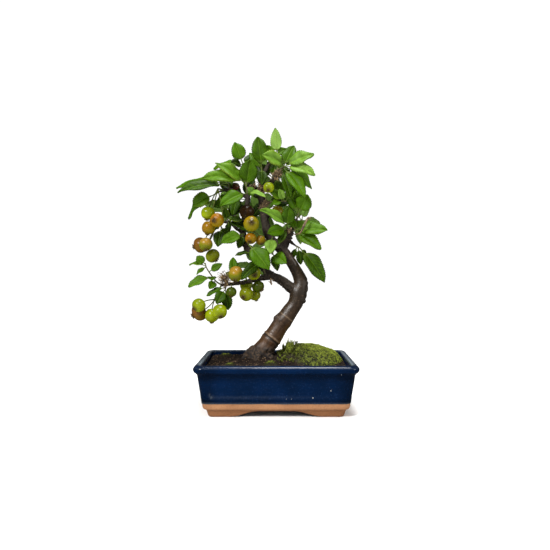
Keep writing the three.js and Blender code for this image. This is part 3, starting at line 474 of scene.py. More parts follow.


# Stoneware with a cobalt glaze: dipped and fired to a glassy navy skin that thins to grey-blue over worn
# edges; grey-blue also paints highlights on the lip and the panel's low edge, and darker glaze paints shade
# under the lip and round the corners.
glaze, tree, shader, place = newFinish("cobaltGlazedStoneware", {"IOR": 1.5, "Specular IOR Level": 0.22})
cloud = noiseNode(tree, place, 34, 4.0)
speck = noiseNode(tree, place, 1.7, 3.0)
pinhole = addNode(tree, "ShaderNodeTexVoronoi", {}, {"Vector": place, "Scale": perMetre(5.5)})
base = mixNode(tree, cloud, "#000712", "#01193a")
speckMask = rampNode(tree, speck, 0.56, 0.78, end=0.35, smooth=True)
speckled = mixNode(tree, speckMask, base, "#1a3660")
pinMask = rampNode(tree, pinhole.outputs["Distance"], 0.09, 0.04, end=0.3)
pinned = mixNode(tree, pinMask, speckled, "#26354c")
# painted shade: darker glaze under the lip, at the wall's foot and round the corners
pool = storedValue(tree, "pool")
glazeWithPaintedShade = mixNode(tree, pool, pinned, "#01040b")
thin = storedValue(tree, "thin")
# painted highlight and wear: grey-blue on the lip's edges and the panel's low edge stands for highlights; at
# the pot's ends and the glaze line it is thin, worn glaze
worn = mathNode(tree, "MULTIPLY_ADD", speck, 0.9, -0.12, clamped=True)
wornAndLitEdges = mathNode(tree, "MULTIPLY", worn, thin, clamped=True)
litEdgesAndChips = mixNode(tree, wornAndLitEdges, glazeWithPaintedShade, "#828c90")
for spot, radius in pot["chips"]:
    reach = addNode(tree, "ShaderNodeVectorMath", {"operation": "DISTANCE"},
                    {0: place, 1: tuple(toMetres(spot))})
    mask = rampNode(tree, reach.outputs["Value"], radius / 1000, 0.5 * radius / 1000, end=0.7, smooth=True)
    litEdgesAndChips = mixNode(tree, mask, litEdgesAndChips, "#b4b6ae")
tree.links.new(litEdgesAndChips, shader.inputs["Base Color"])
gloss = rampNode(tree, speck, 0.35, 0.75, 0.08, 0.22)
tree.links.new(gloss, shader.inputs["Roughness"])
ripple = bumpNode(tree, 0.25, 0.0004, speck)
tree.links.new(ripple, shader.inputs["Normal"])

# Bare stoneware: the unglazed foot, sanded and fired, warm tan, darker near the ground as a stain and as
# painted shade, painted dark grey underneath as shade.
clay, tree, shader, place = newFinish("bareStoneware", {"Roughness": 0.82, "Specular IOR Level": 0.3})
height = addNode(tree, "ShaderNodeSeparateXYZ", {}, {"Vector": place})
grit = noiseNode(tree, place, 1.6, 4.0)
smear = noiseNode(tree, place, 24, 3.0)
clayBase = mixNode(tree, smear, "#744c2f", "#9f7450")
# darker towards the ground: partly a stain, partly painted shade in the foot's recess
stainAndShade = rampNode(tree, height.outputs["Z"], 0.0125, 0.0095, end=0.55, smooth=True)
stainedAndShaded = mixNode(tree, stainAndShade, clayBase, "#6b3f1c")
gritMask = rampNode(tree, grit, 0.5, 0.8, end=0.5)
gritty = mixNode(tree, gritMask, stainedAndShaded, "#46291a")
# painted shade: the clay under the foot is dark grey
under = storedValue(tree, "under")
shadedUnderside = mixNode(tree, under, gritty, "#3a3b3c")
tree.links.new(shadedUnderside, shader.inputs["Base Color"])
tooth = bumpNode(tree, 0.5, 0.0003, grit)
tree.links.new(tooth, shader.inputs["Normal"])

shape, glazedRows, around = potShape()
bareRows = (glazedRows[:-1] * glazedRows[1:] == 0).astype(int)
potIndex = np.concatenate([np.repeat(bareRows, around), np.ones(around, int), np.zeros(around, int)])
potPiece = makePiece("potGlazed", shape, [glaze, clay], ["pot"], potIndex)

# The two drainage holes are drilled through the floor from under it to over it.
drillShape = joinShapes([
    limbShape([[side * pot["drainX"], 0, height, pot["drainRadius"]] for height in (2, 20)], 32)
    for side in (-1, 1)])
drill = plainObject("drill", drillShape["points"], drillShape["quads"], drillShape["triangles"])
drill.data.materials.append(clay)
cut = potPiece.modifiers.new("drainHoles", "BOOLEAN")
cut.operation = "DIFFERENCE"
cut.object = drill
cut.solver = "EXACT"
cutMesh = bpy.data.meshes.new_from_object(potPiece.evaluated_get(bpy.context.evaluated_depsgraph_get()))
potPiece.modifiers.clear()
potPiece.data = cutMesh
bpy.data.objects.remove(drill)
print("pot made:", len(cutMesh.polygons), "faces")

# Moulded polythene mesh: matt charcoal plastic, slightly mottled with dried soil.
plastic, tree, shader, place = newFinish("mouldedPlasticMesh", {"Roughness": 0.55, "Specular IOR Level": 0.4})
dust = noiseNode(tree, place, 6, 4.0)
dusty = mixNode(tree, dust, "#1e2122", "#4b4238")
tree.links.new(dusty, shader.inputs["Base Color"])
for side in ("left", "right"):
    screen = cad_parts["drain_screen_" + side]
    screen.data.materials.clear()
    screen.data.materials.append(plastic)


soil = {
    "level": 58.5, "backRise": 2.0,
    "mounds": [(-18, 4, 12, 46, 34), (44, 20, 9, 44, 34)],  # x, y, height, reach along x, reach along y
    "inset": 10.9, "corner": 9.0, "step": 1.25, "skirt": ((19.5, 17.4), (24.5, 13.4)),  # inset, height
    "lumps": 0.75, "crumbs": 0.55, "dust": 0.3,
    "grains": 6500, "grainSize": (0.5, 2.1), "grainMargin": 1.2, "seed": 11,
    "sticks": 150, "stickSize": (0.45, 0.8), "stickLength": 7.0,
}


# The soil's level: it rises towards the back, and each mound adds a bell.
def soilHeight(x, y):
    height = soil["level"] + soil["backRise"] * smoothStep(y, 5, 60)
    for cx, cy, rise, reachX, reachY in soil["mounds"]:
        height = height + rise * np.exp(-((x - cx) / reachX) ** 2 - ((y - cy) / reachY) ** 2)
    return height


def soilSurface(x, y):  # that level with lumps, crumbs and dust, three sizes of noise
    flat = np.stack([x, y, np.zeros(np.shape(x))], -1)
    lumps = soil["lumps"] * softNoise(flat, 9, 1) + soil["crumbs"] * softNoise(flat, 3.1, 2)
    return soilHeight(x, y) + lumps + soil["dust"] * softNoise(flat, 1.4, 3)


# The soil: a grid over the pot's round-cornered inside at the soil's level, closed by walls and a floor.
def soilShape():
    halfX, halfY = pot["length"] / 2 - soil["inset"], pot["depth"] / 2 - soil["inset"]
    s = np.linspace(-1, 1, int(2 * halfX / soil["step"]))[:, None]
    t = np.linspace(-1, 1, int(2 * halfY / soil["step"]))[None, :]
    x, y = np.broadcast_arrays(s * halfX, t * halfY)
    radius = soil["corner"]
    overX = np.clip((np.abs(x) - halfX + radius) / radius, 0, 1)
    overY = np.clip((np.abs(y) - halfY + radius) / radius, 0, 1)
    pullX = radius * (overX - overX * np.sqrt(1 - overY**2 / 2))
    pullY = radius * (overY - overY * np.sqrt(1 - overX**2 / 2))
    x, y = x - np.sign(x) * pullX, y - np.sign(y) * pullY
    rows, columns = x.shape
    top = np.stack([x, y, soilSurface(x, y)], -1).reshape(-1, 3)
    index = np.arange(rows * columns).reshape(rows, columns)
    loop = np.concatenate([index[:-1, 0], index[-1, :-1], index[:0:-1, -1], index[0, :0:-1]])
    edge = top[loop]
    skirts = []
    for inset, height in soil["skirt"]:
        further = inset - soil["inset"]
        skirts.append(edge * np.array([1 - further / halfX, 1 - further / halfY, 0]) + [0, 0, height])
    points = np.vstack([top, *skirts, [[0, 0, soil["skirt"][-1][1]]]])
    count = len(loop)
    start = rows * columns
    ring = np.arange(count)
    following = np.roll(ring, -1)
    quads = np.vstack([
        gridFaces(rows, columns),
        np.stack([loop, start + ring, start + following, loop[following]], 1),
        np.stack([start + ring, start + count + ring, start + count + following, start + following], 1),
    ])
    pole = np.full(count, start + 2 * count)
    triangles = np.stack([start + count + ring, pole, start + count + following], 1)
    return {"points": points, "quads": quads, "triangles": triangles, "tone": np.full(len(points), 0.25)}


# Grains: six-sided chips with uneven corners, each turned about the upright and tipped at random.
def grainShape(x, y, z, size, tone, random, stretch=1.0):
    count = len(x)
    corners = np.array([[-1, -1, -1], [1, -1, -1], [1, 1, -1], [-1, 1, -1],
                        [-1, -1, 1], [1, -1, 1], [1, 1, 1], [-1, 1, 1]]) / 2
    faces = np.array([[0, 3, 2, 1], [4, 5, 6, 7], [0, 1, 5, 4], [1, 2, 6, 5], [2, 3, 7, 6], [3, 0, 4, 7]])
    sides = size[:, None] * np.stack([np.full(count, stretch), random.uniform(0.55, 1, count),
                                      random.uniform(0.4, 0.8, count)], 1)
    local = corners[None] * random.uniform(0.6, 1.15, (count, 8, 1)) * sides[:, None]
    spin = random.uniform(0, 2 * np.pi, count)[:, None]
    tip = random.uniform(-0.6, 0.6, count)[:, None]
    along, across, up = np.moveaxis(local, -1, 0)
    along, up = along * np.cos(tip) - up * np.sin(tip), along * np.sin(tip) + up * np.cos(tip)
    placed = np.stack([x[:, None] + along * np.cos(spin) - across * np.sin(spin),
                       y[:, None] + along * np.sin(spin) + across * np.cos(spin), z[:, None] + up], -1)
    return {
        "points": placed.reshape(-1, 3),
        "quads": (faces[None] + 8 * np.arange(count)[:, None, None]).reshape(-1, 4),
        "triangles": np.zeros((0, 3), int),
        "tone": np.repeat(tone, 8),
    }


random = np.random.default_rng(soil["seed"])
count = soil["grains"]
grainX = random.uniform(-1, 1, count) * (pot["length"] / 2 - soil["inset"] - soil["grainMargin"])
grainY = random.uniform(-1, 1, count) * (pot["depth"] / 2 - soil["inset"] - soil["grainMargin"])
small, large = soil["grainSize"]
grainSize = small + (large - small) * random.uniform(0, 1, count) ** 2.2
grainZ = soilSurface(grainX, grainY) + 0.2 * grainSize
dryCrumbs = 0.5 * bump(grainX, -27, 26) * bump(grainY, -40, 26)  # paler where roots lift the soil
grainTone = np.clip(random.uniform(0, 1, count) ** 2 + dryCrumbs * random.uniform(0, 1, count), 0, 1)
grains = grainShape(grainX, grainY, grainZ, grainSize, grainTone, random)
count = soil["sticks"]
stickX, stickY = random.uniform(-88, 60, count), random.uniform(-62, 20, count)
stickZ = soilSurface(stickX, stickY) + 0.5
stickSize, stickTone = random.uniform(*soil["stickSize"], count), random.uniform(0.6, 1, count)
sticks = grainShape(stickX, stickY, stickZ, stickSize, stickTone, random, soil["stickLength"])

# Potting soil: crumbled composted bark and grit, damp dark brown with paler dry crumbs.
soilFinish, tree, shader, place = newFinish("pottingSoil", {"Roughness": 0.95, "Specular IOR Level": 0.15})
tone = storedValue(tree, "tone")
crumb = noiseNode(tree, place, 2.4, 5.0)
crumbTone = mathNode(tree, "MULTIPLY_ADD", crumb, 0.9, -0.3, clamped=True)
whole = mathNode(tree, "ADD", crumbTone, tone, clamped=True)
dark = mixNode(tree, whole, "#070403", "#2b2018")
paleMask = rampNode(tree, tone, 0.72, 1.0, end=0.8)
pale = mixNode(tree, paleMask, dark, "#77614a")
tree.links.new(pale, shader.inputs["Base Color"])
grainBump = bumpNode(tree, 0.6, 0.0006, crumb)
tree.links.new(grainBump, shader.inputs["Normal"])

makePiece("soilCrumbled", joinShapes([soilShape(), grains, sticks]), [soilFinish], ["soil"])
print("soil made")


moss = {
    # x, y, reach along x, reach along y, rise, sprigs, seed
    "cushions": {
        "moss_mound": (50, 14, 42, 43, 14, 6400, 3),
        "moss_patch_back": (-74, 50, 9, 7, 3.5, 170, 43),
        "moss_patch_front": (-7, -34, 9, 8, 3.5, 200, 83),
        "moss_patch_left": (-62, -30, 7, 6, 2.5, 130, 123),
    },
    # a share of the way from a cushion's middle to its edge, and of its rise there
    "lift": ([0, 0.2, 0.5, 0.82, 1.0, 1.08], [1, 1, 0.92, 0.6, 0.12, -0.25]),
    "moundGrid": (34, 150), "patchGrid": (12, 40),  # rings and columns
    "patchRise": 5,  # no small patch rises more
    "spikes": 6, "length": (1.3, 2.6), "width": 0.42, "sprig": 0.85,
    "leaflets": 16, "leafletWidth": 0.95, "stalkWidth": 0.5,
    "tallStems": 70, "strayStems": 85, "bareCrumbs": 1000,
}


# A point on a cushion: its ragged outline at an angle, and its height over the soil by share and by clumps.
def mossPoint(cushion, share, angle):
    cx, cy, reachX, reachY, rise, _, seed = cushion
    ragged = 1 + 0.07 * softNoise(np.stack([3 * np.cos(angle), 3 * np.sin(angle), 0 * angle], -1), 1, seed)
    x, y = cx + reachX * share * ragged * np.cos(angle), cy + reachY * share * ragged * np.sin(angle)
    flat = np.stack([x, y, np.zeros(np.shape(x))], -1)
    lift = np.interp(share, *moss["lift"])
    clumps = (0.9 * softNoise(flat, 5, seed + 1) + 0.5 * softNoise(flat, 2.6, seed + 2)
              + 0.5 * softNoise(flat, 1.5, 4))
    slope = 1 - 0.3 * smoothStep(cx - 14 - x, 0, 22) * (rise > moss["patchRise"])  # lower towards the trunk
    swell = rise * lift * slope * (1 + 0.09 * softNoise(flat, 14, seed)) + clumps * (lift > 0)
    return np.stack([x, y, soilHeight(x, y) + swell], -1)


def leftOf(points):  # how far a place lies towards the thin, dry side of the large mound
    return 30 - points[..., 0] - 0.4 * points[..., 1]


# A cushion: rings of those points round one pole, closed by a skirt under the soil. It takes the darkest
# tone, as painted shade under the sprigs.
def cushionShape(cushion):
    large = cushion[4] > moss["patchRise"]
    rings, columns = moss["moundGrid" if large else "patchGrid"]
    share, turn = np.meshgrid(np.linspace(1.06, 0.03, rings),
                              np.linspace(0, 2 * np.pi, columns, endpoint=False), indexing="ij")
    surface = mossPoint(cushion, share, turn)
    rows = np.concatenate([surface[:1] - [0, 0, 2.5], surface])
    dry = 0.3 + 0.7 * smoothStep(leftOf(rows), 0, 16) if large else 1
    return tubeShape(rows, rows[0].mean(0), rows[-1].mean(0), tone=0.0, dry=dry)


# Spikes: closed three-sided pyramids; each stands on its foot, points its own way and pales to its tip, its
# foot darkened as painted shade.
def spikeShape(feet, directions, length, width, tone, dry, random):
    count = len(feet)
    across = unit(np.cross(directions, random.normal(size=(count, 3))))
    up = np.cross(directions, across)
    angle = 2 * np.pi * np.arange(3) / 3
    base = feet[:, None] + 0.5 * width[:, None, None] * (
        np.cos(angle)[None, :, None] * across[:, None] + np.sin(angle)[None, :, None] * up[:, None])
    tips = (feet + length[:, None] * directions)[:, None]
    faces = np.array([[0, 1, 3], [1, 2, 3], [2, 0, 3], [0, 2, 1]])
    # painted shade: the three foot corners take a fifth of the tip's tone
    tones = np.stack([tone * 0.2] * 3 + [tone], 1)
    return {
        "points": np.concatenate([base, tips], 1).reshape(-1, 3),
        "quads": np.zeros((0, 4), int),
        "triangles": (faces[None] + 4 * np.arange(count)[:, None, None]).reshape(-1, 3),
        "tone": tones.ravel(),
        "dry": np.repeat(dry, 4),
    }


# Sprigs: a fan of spikes from one foot, leaning a little outwards.
def sprigShape(feet, tone, dry, random):
    spikes = moss["spikes"]
    count = len(feet) * spikes
    lean = random.normal(size=(count, 3)) * 0.55
    directions = unit(lean + [0, 0, 0.9])
    length = moss["sprig"] * random.uniform(*moss["length"], count)
    jitter = random.normal(size=(count, 3)) * [0.3, 0.3, 0.1]
    tones = (np.repeat(tone + random.normal(size=len(feet)) * 0.27, spikes)
             + random.normal(size=count) * 0.12)
    return spikeShape(np.repeat(feet, spikes, 0) + jitter, directions, length,
                      np.full(count, moss["width"]), np.clip(tones, 0, 1), np.repeat(dry, spikes), random)


# Upright stems: leaflets all the way up a thin straight stalk, each turned past the one below.
def stemShape(feet, height, tone, dry, random):
    count, leaflets = len(feet), moss["leaflets"]
    way = unit(random.normal(size=(count, 3)) * 0.18 + [0, 0, 1])
    stalks = spikeShape(feet, way, height, np.full(count, moss["stalkWidth"]), tone * 0.6, dry, random)
    share = np.tile((np.arange(leaflets) + 1) / leaflets, count)
    at = np.repeat(feet, leaflets, 0) + np.repeat(way * height[:, None], leaflets, 0) * share[:, None]
    start = np.repeat(random.uniform(0, 6.28, count), leaflets)
    turn = leafTurn * np.tile(np.arange(leaflets), count) + start
    out = np.stack([np.cos(turn), np.sin(turn), np.full(len(turn), 0.7)], -1)
    length = 2.3 * (1.15 - 0.5 * share)
    tones = np.clip(np.repeat(tone, leaflets) * (0.6 + 0.5 * share), 0, 1)
    leaves = spikeShape(at, unit(out), length, np.full(len(at), moss["leafletWidth"]), tones,
                        np.repeat(dry, leaflets), random)
    return joinShapes([stalks, leaves])


# The large mound browns and thins out to its left, where tall stems, strays and bare crumbs of soil show.
def moundShapes(cushion, feet, patches, clumps, random):
    count, leftward = len(feet), leftOf(feet)
    dry = 0.95 * smoothStep(leftward + 9 * patches, -4, 12) * random.uniform(0.35, 1, count)
    # painted light and shade: sprigs on high clumps are paler and those on low ones darker, and sprigs are
    # left out of the hollows so the near-black cushion shows
    tone = np.clip(0.52 + 0.2 * patches + 0.4 * clumps + 0.25 * smoothStep(feet[:, 0], 35, 80), 0.03, 1)
    kept = random.uniform(0, 1, count) > np.maximum(0.88 * smoothStep(leftward, -4, 12),
                                                    0.7 * smoothStep(-clumps, 0.1, 0.5))
    count = moss["tallStems"]
    spot = np.stack([random.normal(19.5, 3.6, count), random.normal(6, 7, count), np.zeros(count)], 1)
    spot[:, 2] = soilHeight(spot[:, 0], spot[:, 1]) + 6
    tall = random.uniform(4, 13, count) * bump(spot[:, 0], 20, 8) + 3
    stems = stemShape(spot, tall, random.uniform(0.85, 1.3, count), random.uniform(0, 0.25, count), random)

    cx, cy, reachX, reachY, rise = cushion[:5]
    count = moss["strayStems"]
    spot = np.stack([random.uniform(2, 30, count), random.uniform(-26, 34, count), np.zeros(count)], 1)
    share = np.hypot((spot[:, 0] - cx) / reachX, (spot[:, 1] - cy) / reachY)
    spot[:, 2] = soilHeight(spot[:, 0], spot[:, 1]) + rise * np.interp(share, *moss["lift"]).clip(0) - 0.3
    strays = stemShape(spot, random.uniform(3, 5.5, count), random.uniform(0.5, 1.1, count),
                       random.uniform(0, 0.45, count), random)

    count = moss["bareCrumbs"]
    spot = mossPoint(cushion, np.sqrt(random.uniform(0, 1, count)), random.uniform(1.5, 4.8, count))
    spot = spot[leftOf(spot) > random.uniform(-4, 10, count)]
    count = len(spot)
    crumbs = grainShape(*spot.T, random.uniform(0.8, 2.3, count), random.uniform(0, 1, count), random)
    crumbs["dry"] = np.repeat(random.uniform(0.75, 1, count), 8)
    return feet[kept], tone[kept], dry[kept], [stems, strays, crumbs]


# Living moss: fine pointed leaflets, yellow-green at their lit tips and near black towards their feet and in
# the hollows as painted shade, olive to brown where it is thin and dry.
mossFinish, tree, shader, place = newFinish("livingMoss", {"Roughness": 0.75, "Specular IOR Level": 0.2})
tone = storedValue(tree, "tone")
dry = storedValue(tree, "dry")
patch = noiseNode(tree, place, 9, 3.0)
shift = mathNode(tree, "MULTIPLY_ADD", patch, 0.5, -0.25)
tuft = addNode(tree, "ShaderNodeTexVoronoi", {}, {"Vector": place, "Scale": perMetre(2.0)})
shade = mathNode(tree, "MULTIPLY_ADD", tuft.outputs["Color"], 0.7, -0.35)
shifted = mathNode(tree, "ADD", shift, shade)
level = mathNode(tree, "ADD", tone, shifted, clamped=True)
green = mixNode(tree, level, "#060801", "#a4b340")
dried = mixNode(tree, dry, green, "#231d11")
tree.links.new(dried, shader.inputs["Base Color"])

for node, cushion in moss["cushions"].items():
    count, seed = cushion[5:]
    random = np.random.default_rng(seed)
    share, angle = np.sqrt(random.uniform(0, 1, count)) * 1.04, random.uniform(0, 2 * np.pi, count)
    feet = mossPoint(cushion, share, angle) - [0, 0, 0.25]
    patches, clumps = softNoise(feet, 11, 5), softNoise(feet * [1, 1, 0], 2.6, seed + 2)
    if node == "moss_mound":
        feet, tone, dry, extras = moundShapes(cushion, feet, patches, clumps, random)
    else:  # small patches die back from their edges
        tone = np.clip(0.7 + 0.3 * clumps, 0.04, 1)
        dry, extras = 0.9 * smoothStep(share + 0.3 * clumps, 0.35, 0.7), []
    shape = joinShapes([cushionShape(cushion), *extras, sprigShape(feet, tone, dry, random)])
    makePiece(node + "_tufted", shape, [mossFinish], [node], smooth=False)
print("moss made")


wood = {
    # limbs as rows of x, y, z, radius; each branch starts inside the limb that carries it
    "trunk": [
        [-31, 0, 40, 12], [-29, 0, 53, 16.5], [-21.5, 0, 71, 15.4], [-12.5, 0, 84, 13.2],
        [-7.5, 0, 91, 13.8], [-2.5, 0, 98, 12.6], [5.5, 0, 111, 12], [9.5, 0, 117, 12.8],
        [13.5, 0, 122, 11.7], [19.5, 0, 131, 11], [25.2, 0, 139, 10.4], [29, 0, 147, 11.2],
        [31, 0, 157, 11.8], [34.5, 0, 168, 10], [32, 0, 178, 8.8], [27, -2, 188, 7.8],
        [19, -4, 201, 7.3], [11, -5, 212, 7], [1, -4, 221, 6.6], [-8, 0, 232, 6.2],
        [-14, 3, 247, 5.8], [-17, 5, 266, 5.3], [-20, 5, 285, 4.8],
        [-21, 4, 304, 4.2], [-17, 3, 321, 3.4], [-11, 2, 333, 2.6], [-7, 1, 342, 1.8],
    ],
    "branches": [
        [[30, 0, 158, 8], [21, -2, 163, 7.4], [12, -5, 170, 6.6], [3, -8, 176, 5.6], [-8, -10, 179, 5.2],
         [-23, -12, 176, 3.6], [-37, -14, 172, 3], [-50, -14, 170, 2.7], [-63, -13, 168, 2.5],
         [-75, -12, 167, 2.3]],
        [[-4, -8, 178, 5.2], [-17, -6, 190, 5.1], [-26, -3, 201, 5.1], [-36, 0, 212, 5],
         [-43, 3, 225, 4.8], [-46, 5, 238, 4.5], [-45, 6, 255, 4.1], [-41, 6, 274, 3.7], [-39, 5, 291, 3.2],
         [-40, 4, 304, 2.6], [-43, 3, 317, 2]],
        [[-40, 5, 288, 2.8], [-50, 2, 294, 2.4], [-61, 0, 298, 2.2], [-72, -2, 298, 1.9],
         [-83, -4, 293, 1.6]],
        [[-46, 5, 239, 2.6], [-56, 6, 246, 2.3], [-65, 8, 254, 2], [-75, 9, 254, 1.7], [-82, 9, 245, 1.4]],
        [[-40, 4, 303, 2.4], [-46, 2, 315, 2], [-49, 0, 327, 1.5]],
        [[-20, 4, 299, 3.4], [-10, 1, 307, 3.2], [-2, -2, 314, 3.2], [4, -4, 324, 2.8]],
        [[1, -4, 221, 6.5], [8, -4, 227, 6.6], [14, -3, 234, 6.6], [16, -2, 241, 5.2]],
        [[15, 0, 237, 2.6], [24, 4, 249, 2.2], [29, 6, 259, 1.7]],
        [[16, -1, 232, 2.4], [22, -1, 225, 1.9], [27, -2, 221, 1.5]],
        [[17, -3, 203, 4], [14, 16, 213, 3.2], [6, 32, 224, 2.6], [-4, 44, 232, 2]],
        [[-16, 4, 258, 3.6], [-8, 20, 268, 2.8], [2, 34, 278, 2.2], [8, 42, 284, 1.8]],
        [[-45, 6, 252, 3], [-54, 20, 260, 2.5], [-62, 33, 266, 2.1], [-66, 41, 269, 1.7]],
        [[15, -2, 238, 3.4], [24, 14, 247, 2.8], [32, 28, 254, 2.2], [36, 36, 258, 1.8]],
        [[-20, 4, 311, 2.8], [-17, 17, 320, 2.3], [-15, 28, 326, 1.8]],
        [[-43, 4, 268, 3], [-36, 16, 272, 2.4], [-30, 26, 274, 1.8]],
        [[-10, -9, 179, 3], [-15, 8, 186, 2.4], [-22, 22, 192, 2], [-28, 30, 195, 1.6]],
    ],
    "rootsFrom": -24, "roots": [(190, 20), (262, 16), (335, 20), (45, 18), (118, 17)],  # heading, reach
    "rootSteps": ((0.3, 80, 5), (0.8, 69, 6), (1.1, 60, 4), (1.5, 46, 2.2)),  # share of reach, height, radius
    "knobs": [[37, -2, 146, 4.8], [37.5, -1, 158, 5.2], [38.5, 0, 169, 4.6], [39.5, -1, 176, 2.9],
              [38.5, -1, 180, 2.2], [1, -5, 121, 4.6], [15.5, -4, 236, 6.4], [20, -3, 238.5, 4.4],
              [17, -4, 230.5, 5.2], [12, -4, 222.5, 5.8]],  # x, y, z, radius
    # where it stands on the wood, which way it points, how many stubs, their length, threads, their reach
    "spurs": [
        ([0, -4, 313], [0.35, -0.45, 0.8], 2, 17, 90, 8), ([-38, 2, 296], [0.6, -0.4, 0.8], 2, 12, 40, 7),
        ([-21, 2, 292], [0.1, -0.9, 0.4], 2, 13, 60, 8), ([-18, 3, 274], [0.5, -0.8, 0.5], 3, 15, 70, 8),
        ([-66, -13, 169], [-0.2, -0.5, 0.6], 3, 11, 100, 10), ([15, -4, 236], [0.2, -0.6, 0.5], 2, 9, 24, 5),
        ([-6, -10, 178], [0.2, -0.5, -0.8], 2, 8, 16, 4),
    ],
    # old bud rings round the trunk: a place on its axis, then how far its ridge, groove and pale line show
    "scars": [(10.8, 0, 122.5, 0.3, 0.1, 0.9), (-9.5, 0, 93.5, 1.0, 1.0, 0.5), (-4.5, 0, 99, 0.2, 0.15, 0.2)],
    # bark is rough below a height, above another (start, full) and on branches left of this x, and soil cakes
    # the roots up to the last height
    "roughBelow": 91, "roughAbove": (214, 224), "roughLeftOf": 24, "cakedTo": 88,
    "thickLimb": (3.5, 5), "thickRelief": 0.7,  # radii from which a rough limb is scaliest, and by how much
    "deadTwig": [[20, -2, 238, 0.7], [27, -12, 236, 0.7], [33, -18, 238, 1.1], [37, -19, 246, 1.7],
                 [41, -18, 254, 1.6], [44, -17, 258, 1.4], [47, -16, 257.5, 0.9]],
    "around": {"trunk": 26, "branch": 16, "stub": 9, "bud": 8, "thread": 5}, "stepsPerRow": 6,
    "voxel": 0.88, "easings": 4, "seed": 5,
}


# One closed skin round all the limbs: a voxel remesh fuses them, then each corner moves half way, a few
# times over, to the middle of the corners it shares an edge with.
def fusedSkin(shape, voxel):
    limbs = plainObject("limbs", shape["points"], shape["quads"], shape["triangles"])
    remesh = limbs.modifiers.new("skin", "REMESH")
    remesh.mode = "VOXEL"
    remesh.voxel_size = voxel / 1000
    skin = bpy.data.meshes.new_from_object(limbs.evaluated_get(bpy.context.evaluated_depsgraph_get()))
    bpy.data.objects.remove(limbs)
    points = np.empty(len(skin.vertices) * 3)
    skin.vertices.foreach_get("co", points)
    corners = np.empty(len(skin.loops), np.int32)
    skin.loops.foreach_get("vertex_index", corners)
    edges = np.empty(len(skin.edges) * 2, np.int32)
    skin.edges.foreach_get("vertices", edges)
    points, edges = (points.reshape(-1, 3) - home) * 1000, edges.reshape(-1, 2)
    joints = np.bincount(edges.ravel(), minlength=len(points))[:, None]
    for _ in range(wood["easings"]):
        total = np.stack([np.bincount(edges[:, 0], points[edges[:, 1], axis], len(points))
                          + np.bincount(edges[:, 1], points[edges[:, 0], axis], len(points))
                          for axis in range(3)], 1)
        points = points + 0.5 * (total / joints - points)
    normals = np.empty(len(skin.vertices) * 3)
    skin.vertices.foreach_get("normal", normals)
    return points, corners.reshape(-1, 4), normals.reshape(-1, 3)


# Where a point lies on its nearest limb, by gap over radius: length along it, angle round it, its radius,
# which limb, and the samples along all limbs.
def nearestOnLimbs(points, limbs):
    samples = []  # x, y, z, radius, length so far, limb, and the two directions across
    for number, rows in enumerate(limbs):
        rows = smoothRows(rows, 10)
        along = np.concatenate([[0], np.cumsum(np.linalg.norm(np.diff(rows[:, :3], axis=0), axis=1))])
        _, across, up = pathFrames(rows[:, :3])
        samples.append(np.hstack([rows, along[:, None], np.full((len(rows), 1), number), across, up]))
    samples = np.vstack(samples)
    nearest = np.empty(len(points), int)
    for start in range(0, len(points), 4000):  # in parts, to spare memory
        part = points[start:start + 4000]
        gap = np.linalg.norm(part[:, None] - samples[None, :, :3], axis=2) / samples[None, :, 3]
        nearest[start:start + 4000] = gap.argmin(1)
    found = samples[nearest]
    offset = points - found[:, :3]
    angle = np.arctan2((offset * found[:, 9:12]).sum(1), (offset * found[:, 6:9]).sum(1))
    return found[:, 4], angle, found[:, 3], found[:, 5].astype(int), samples


def rootRows(heading, reach):  # a root: out from the trunk's foot along its heading, down into the soil
    cos, sin = math.cos(math.radians(heading)), math.sin(math.radians(heading))
    return [[wood["rootsFrom"] + reach * share * cos, reach * share * sin, height, radius]
            for share, height, radius in wood["rootSteps"]]


def knobRows(x, y, z, radius):  # a ball as a short limb: the radius at a step is a circle's half-width
    steps = np.linspace(-0.9, 0.9, 9)
    return [[x, y, z + radius * step, radius * math.sqrt(1 - step**2)] for step in steps]


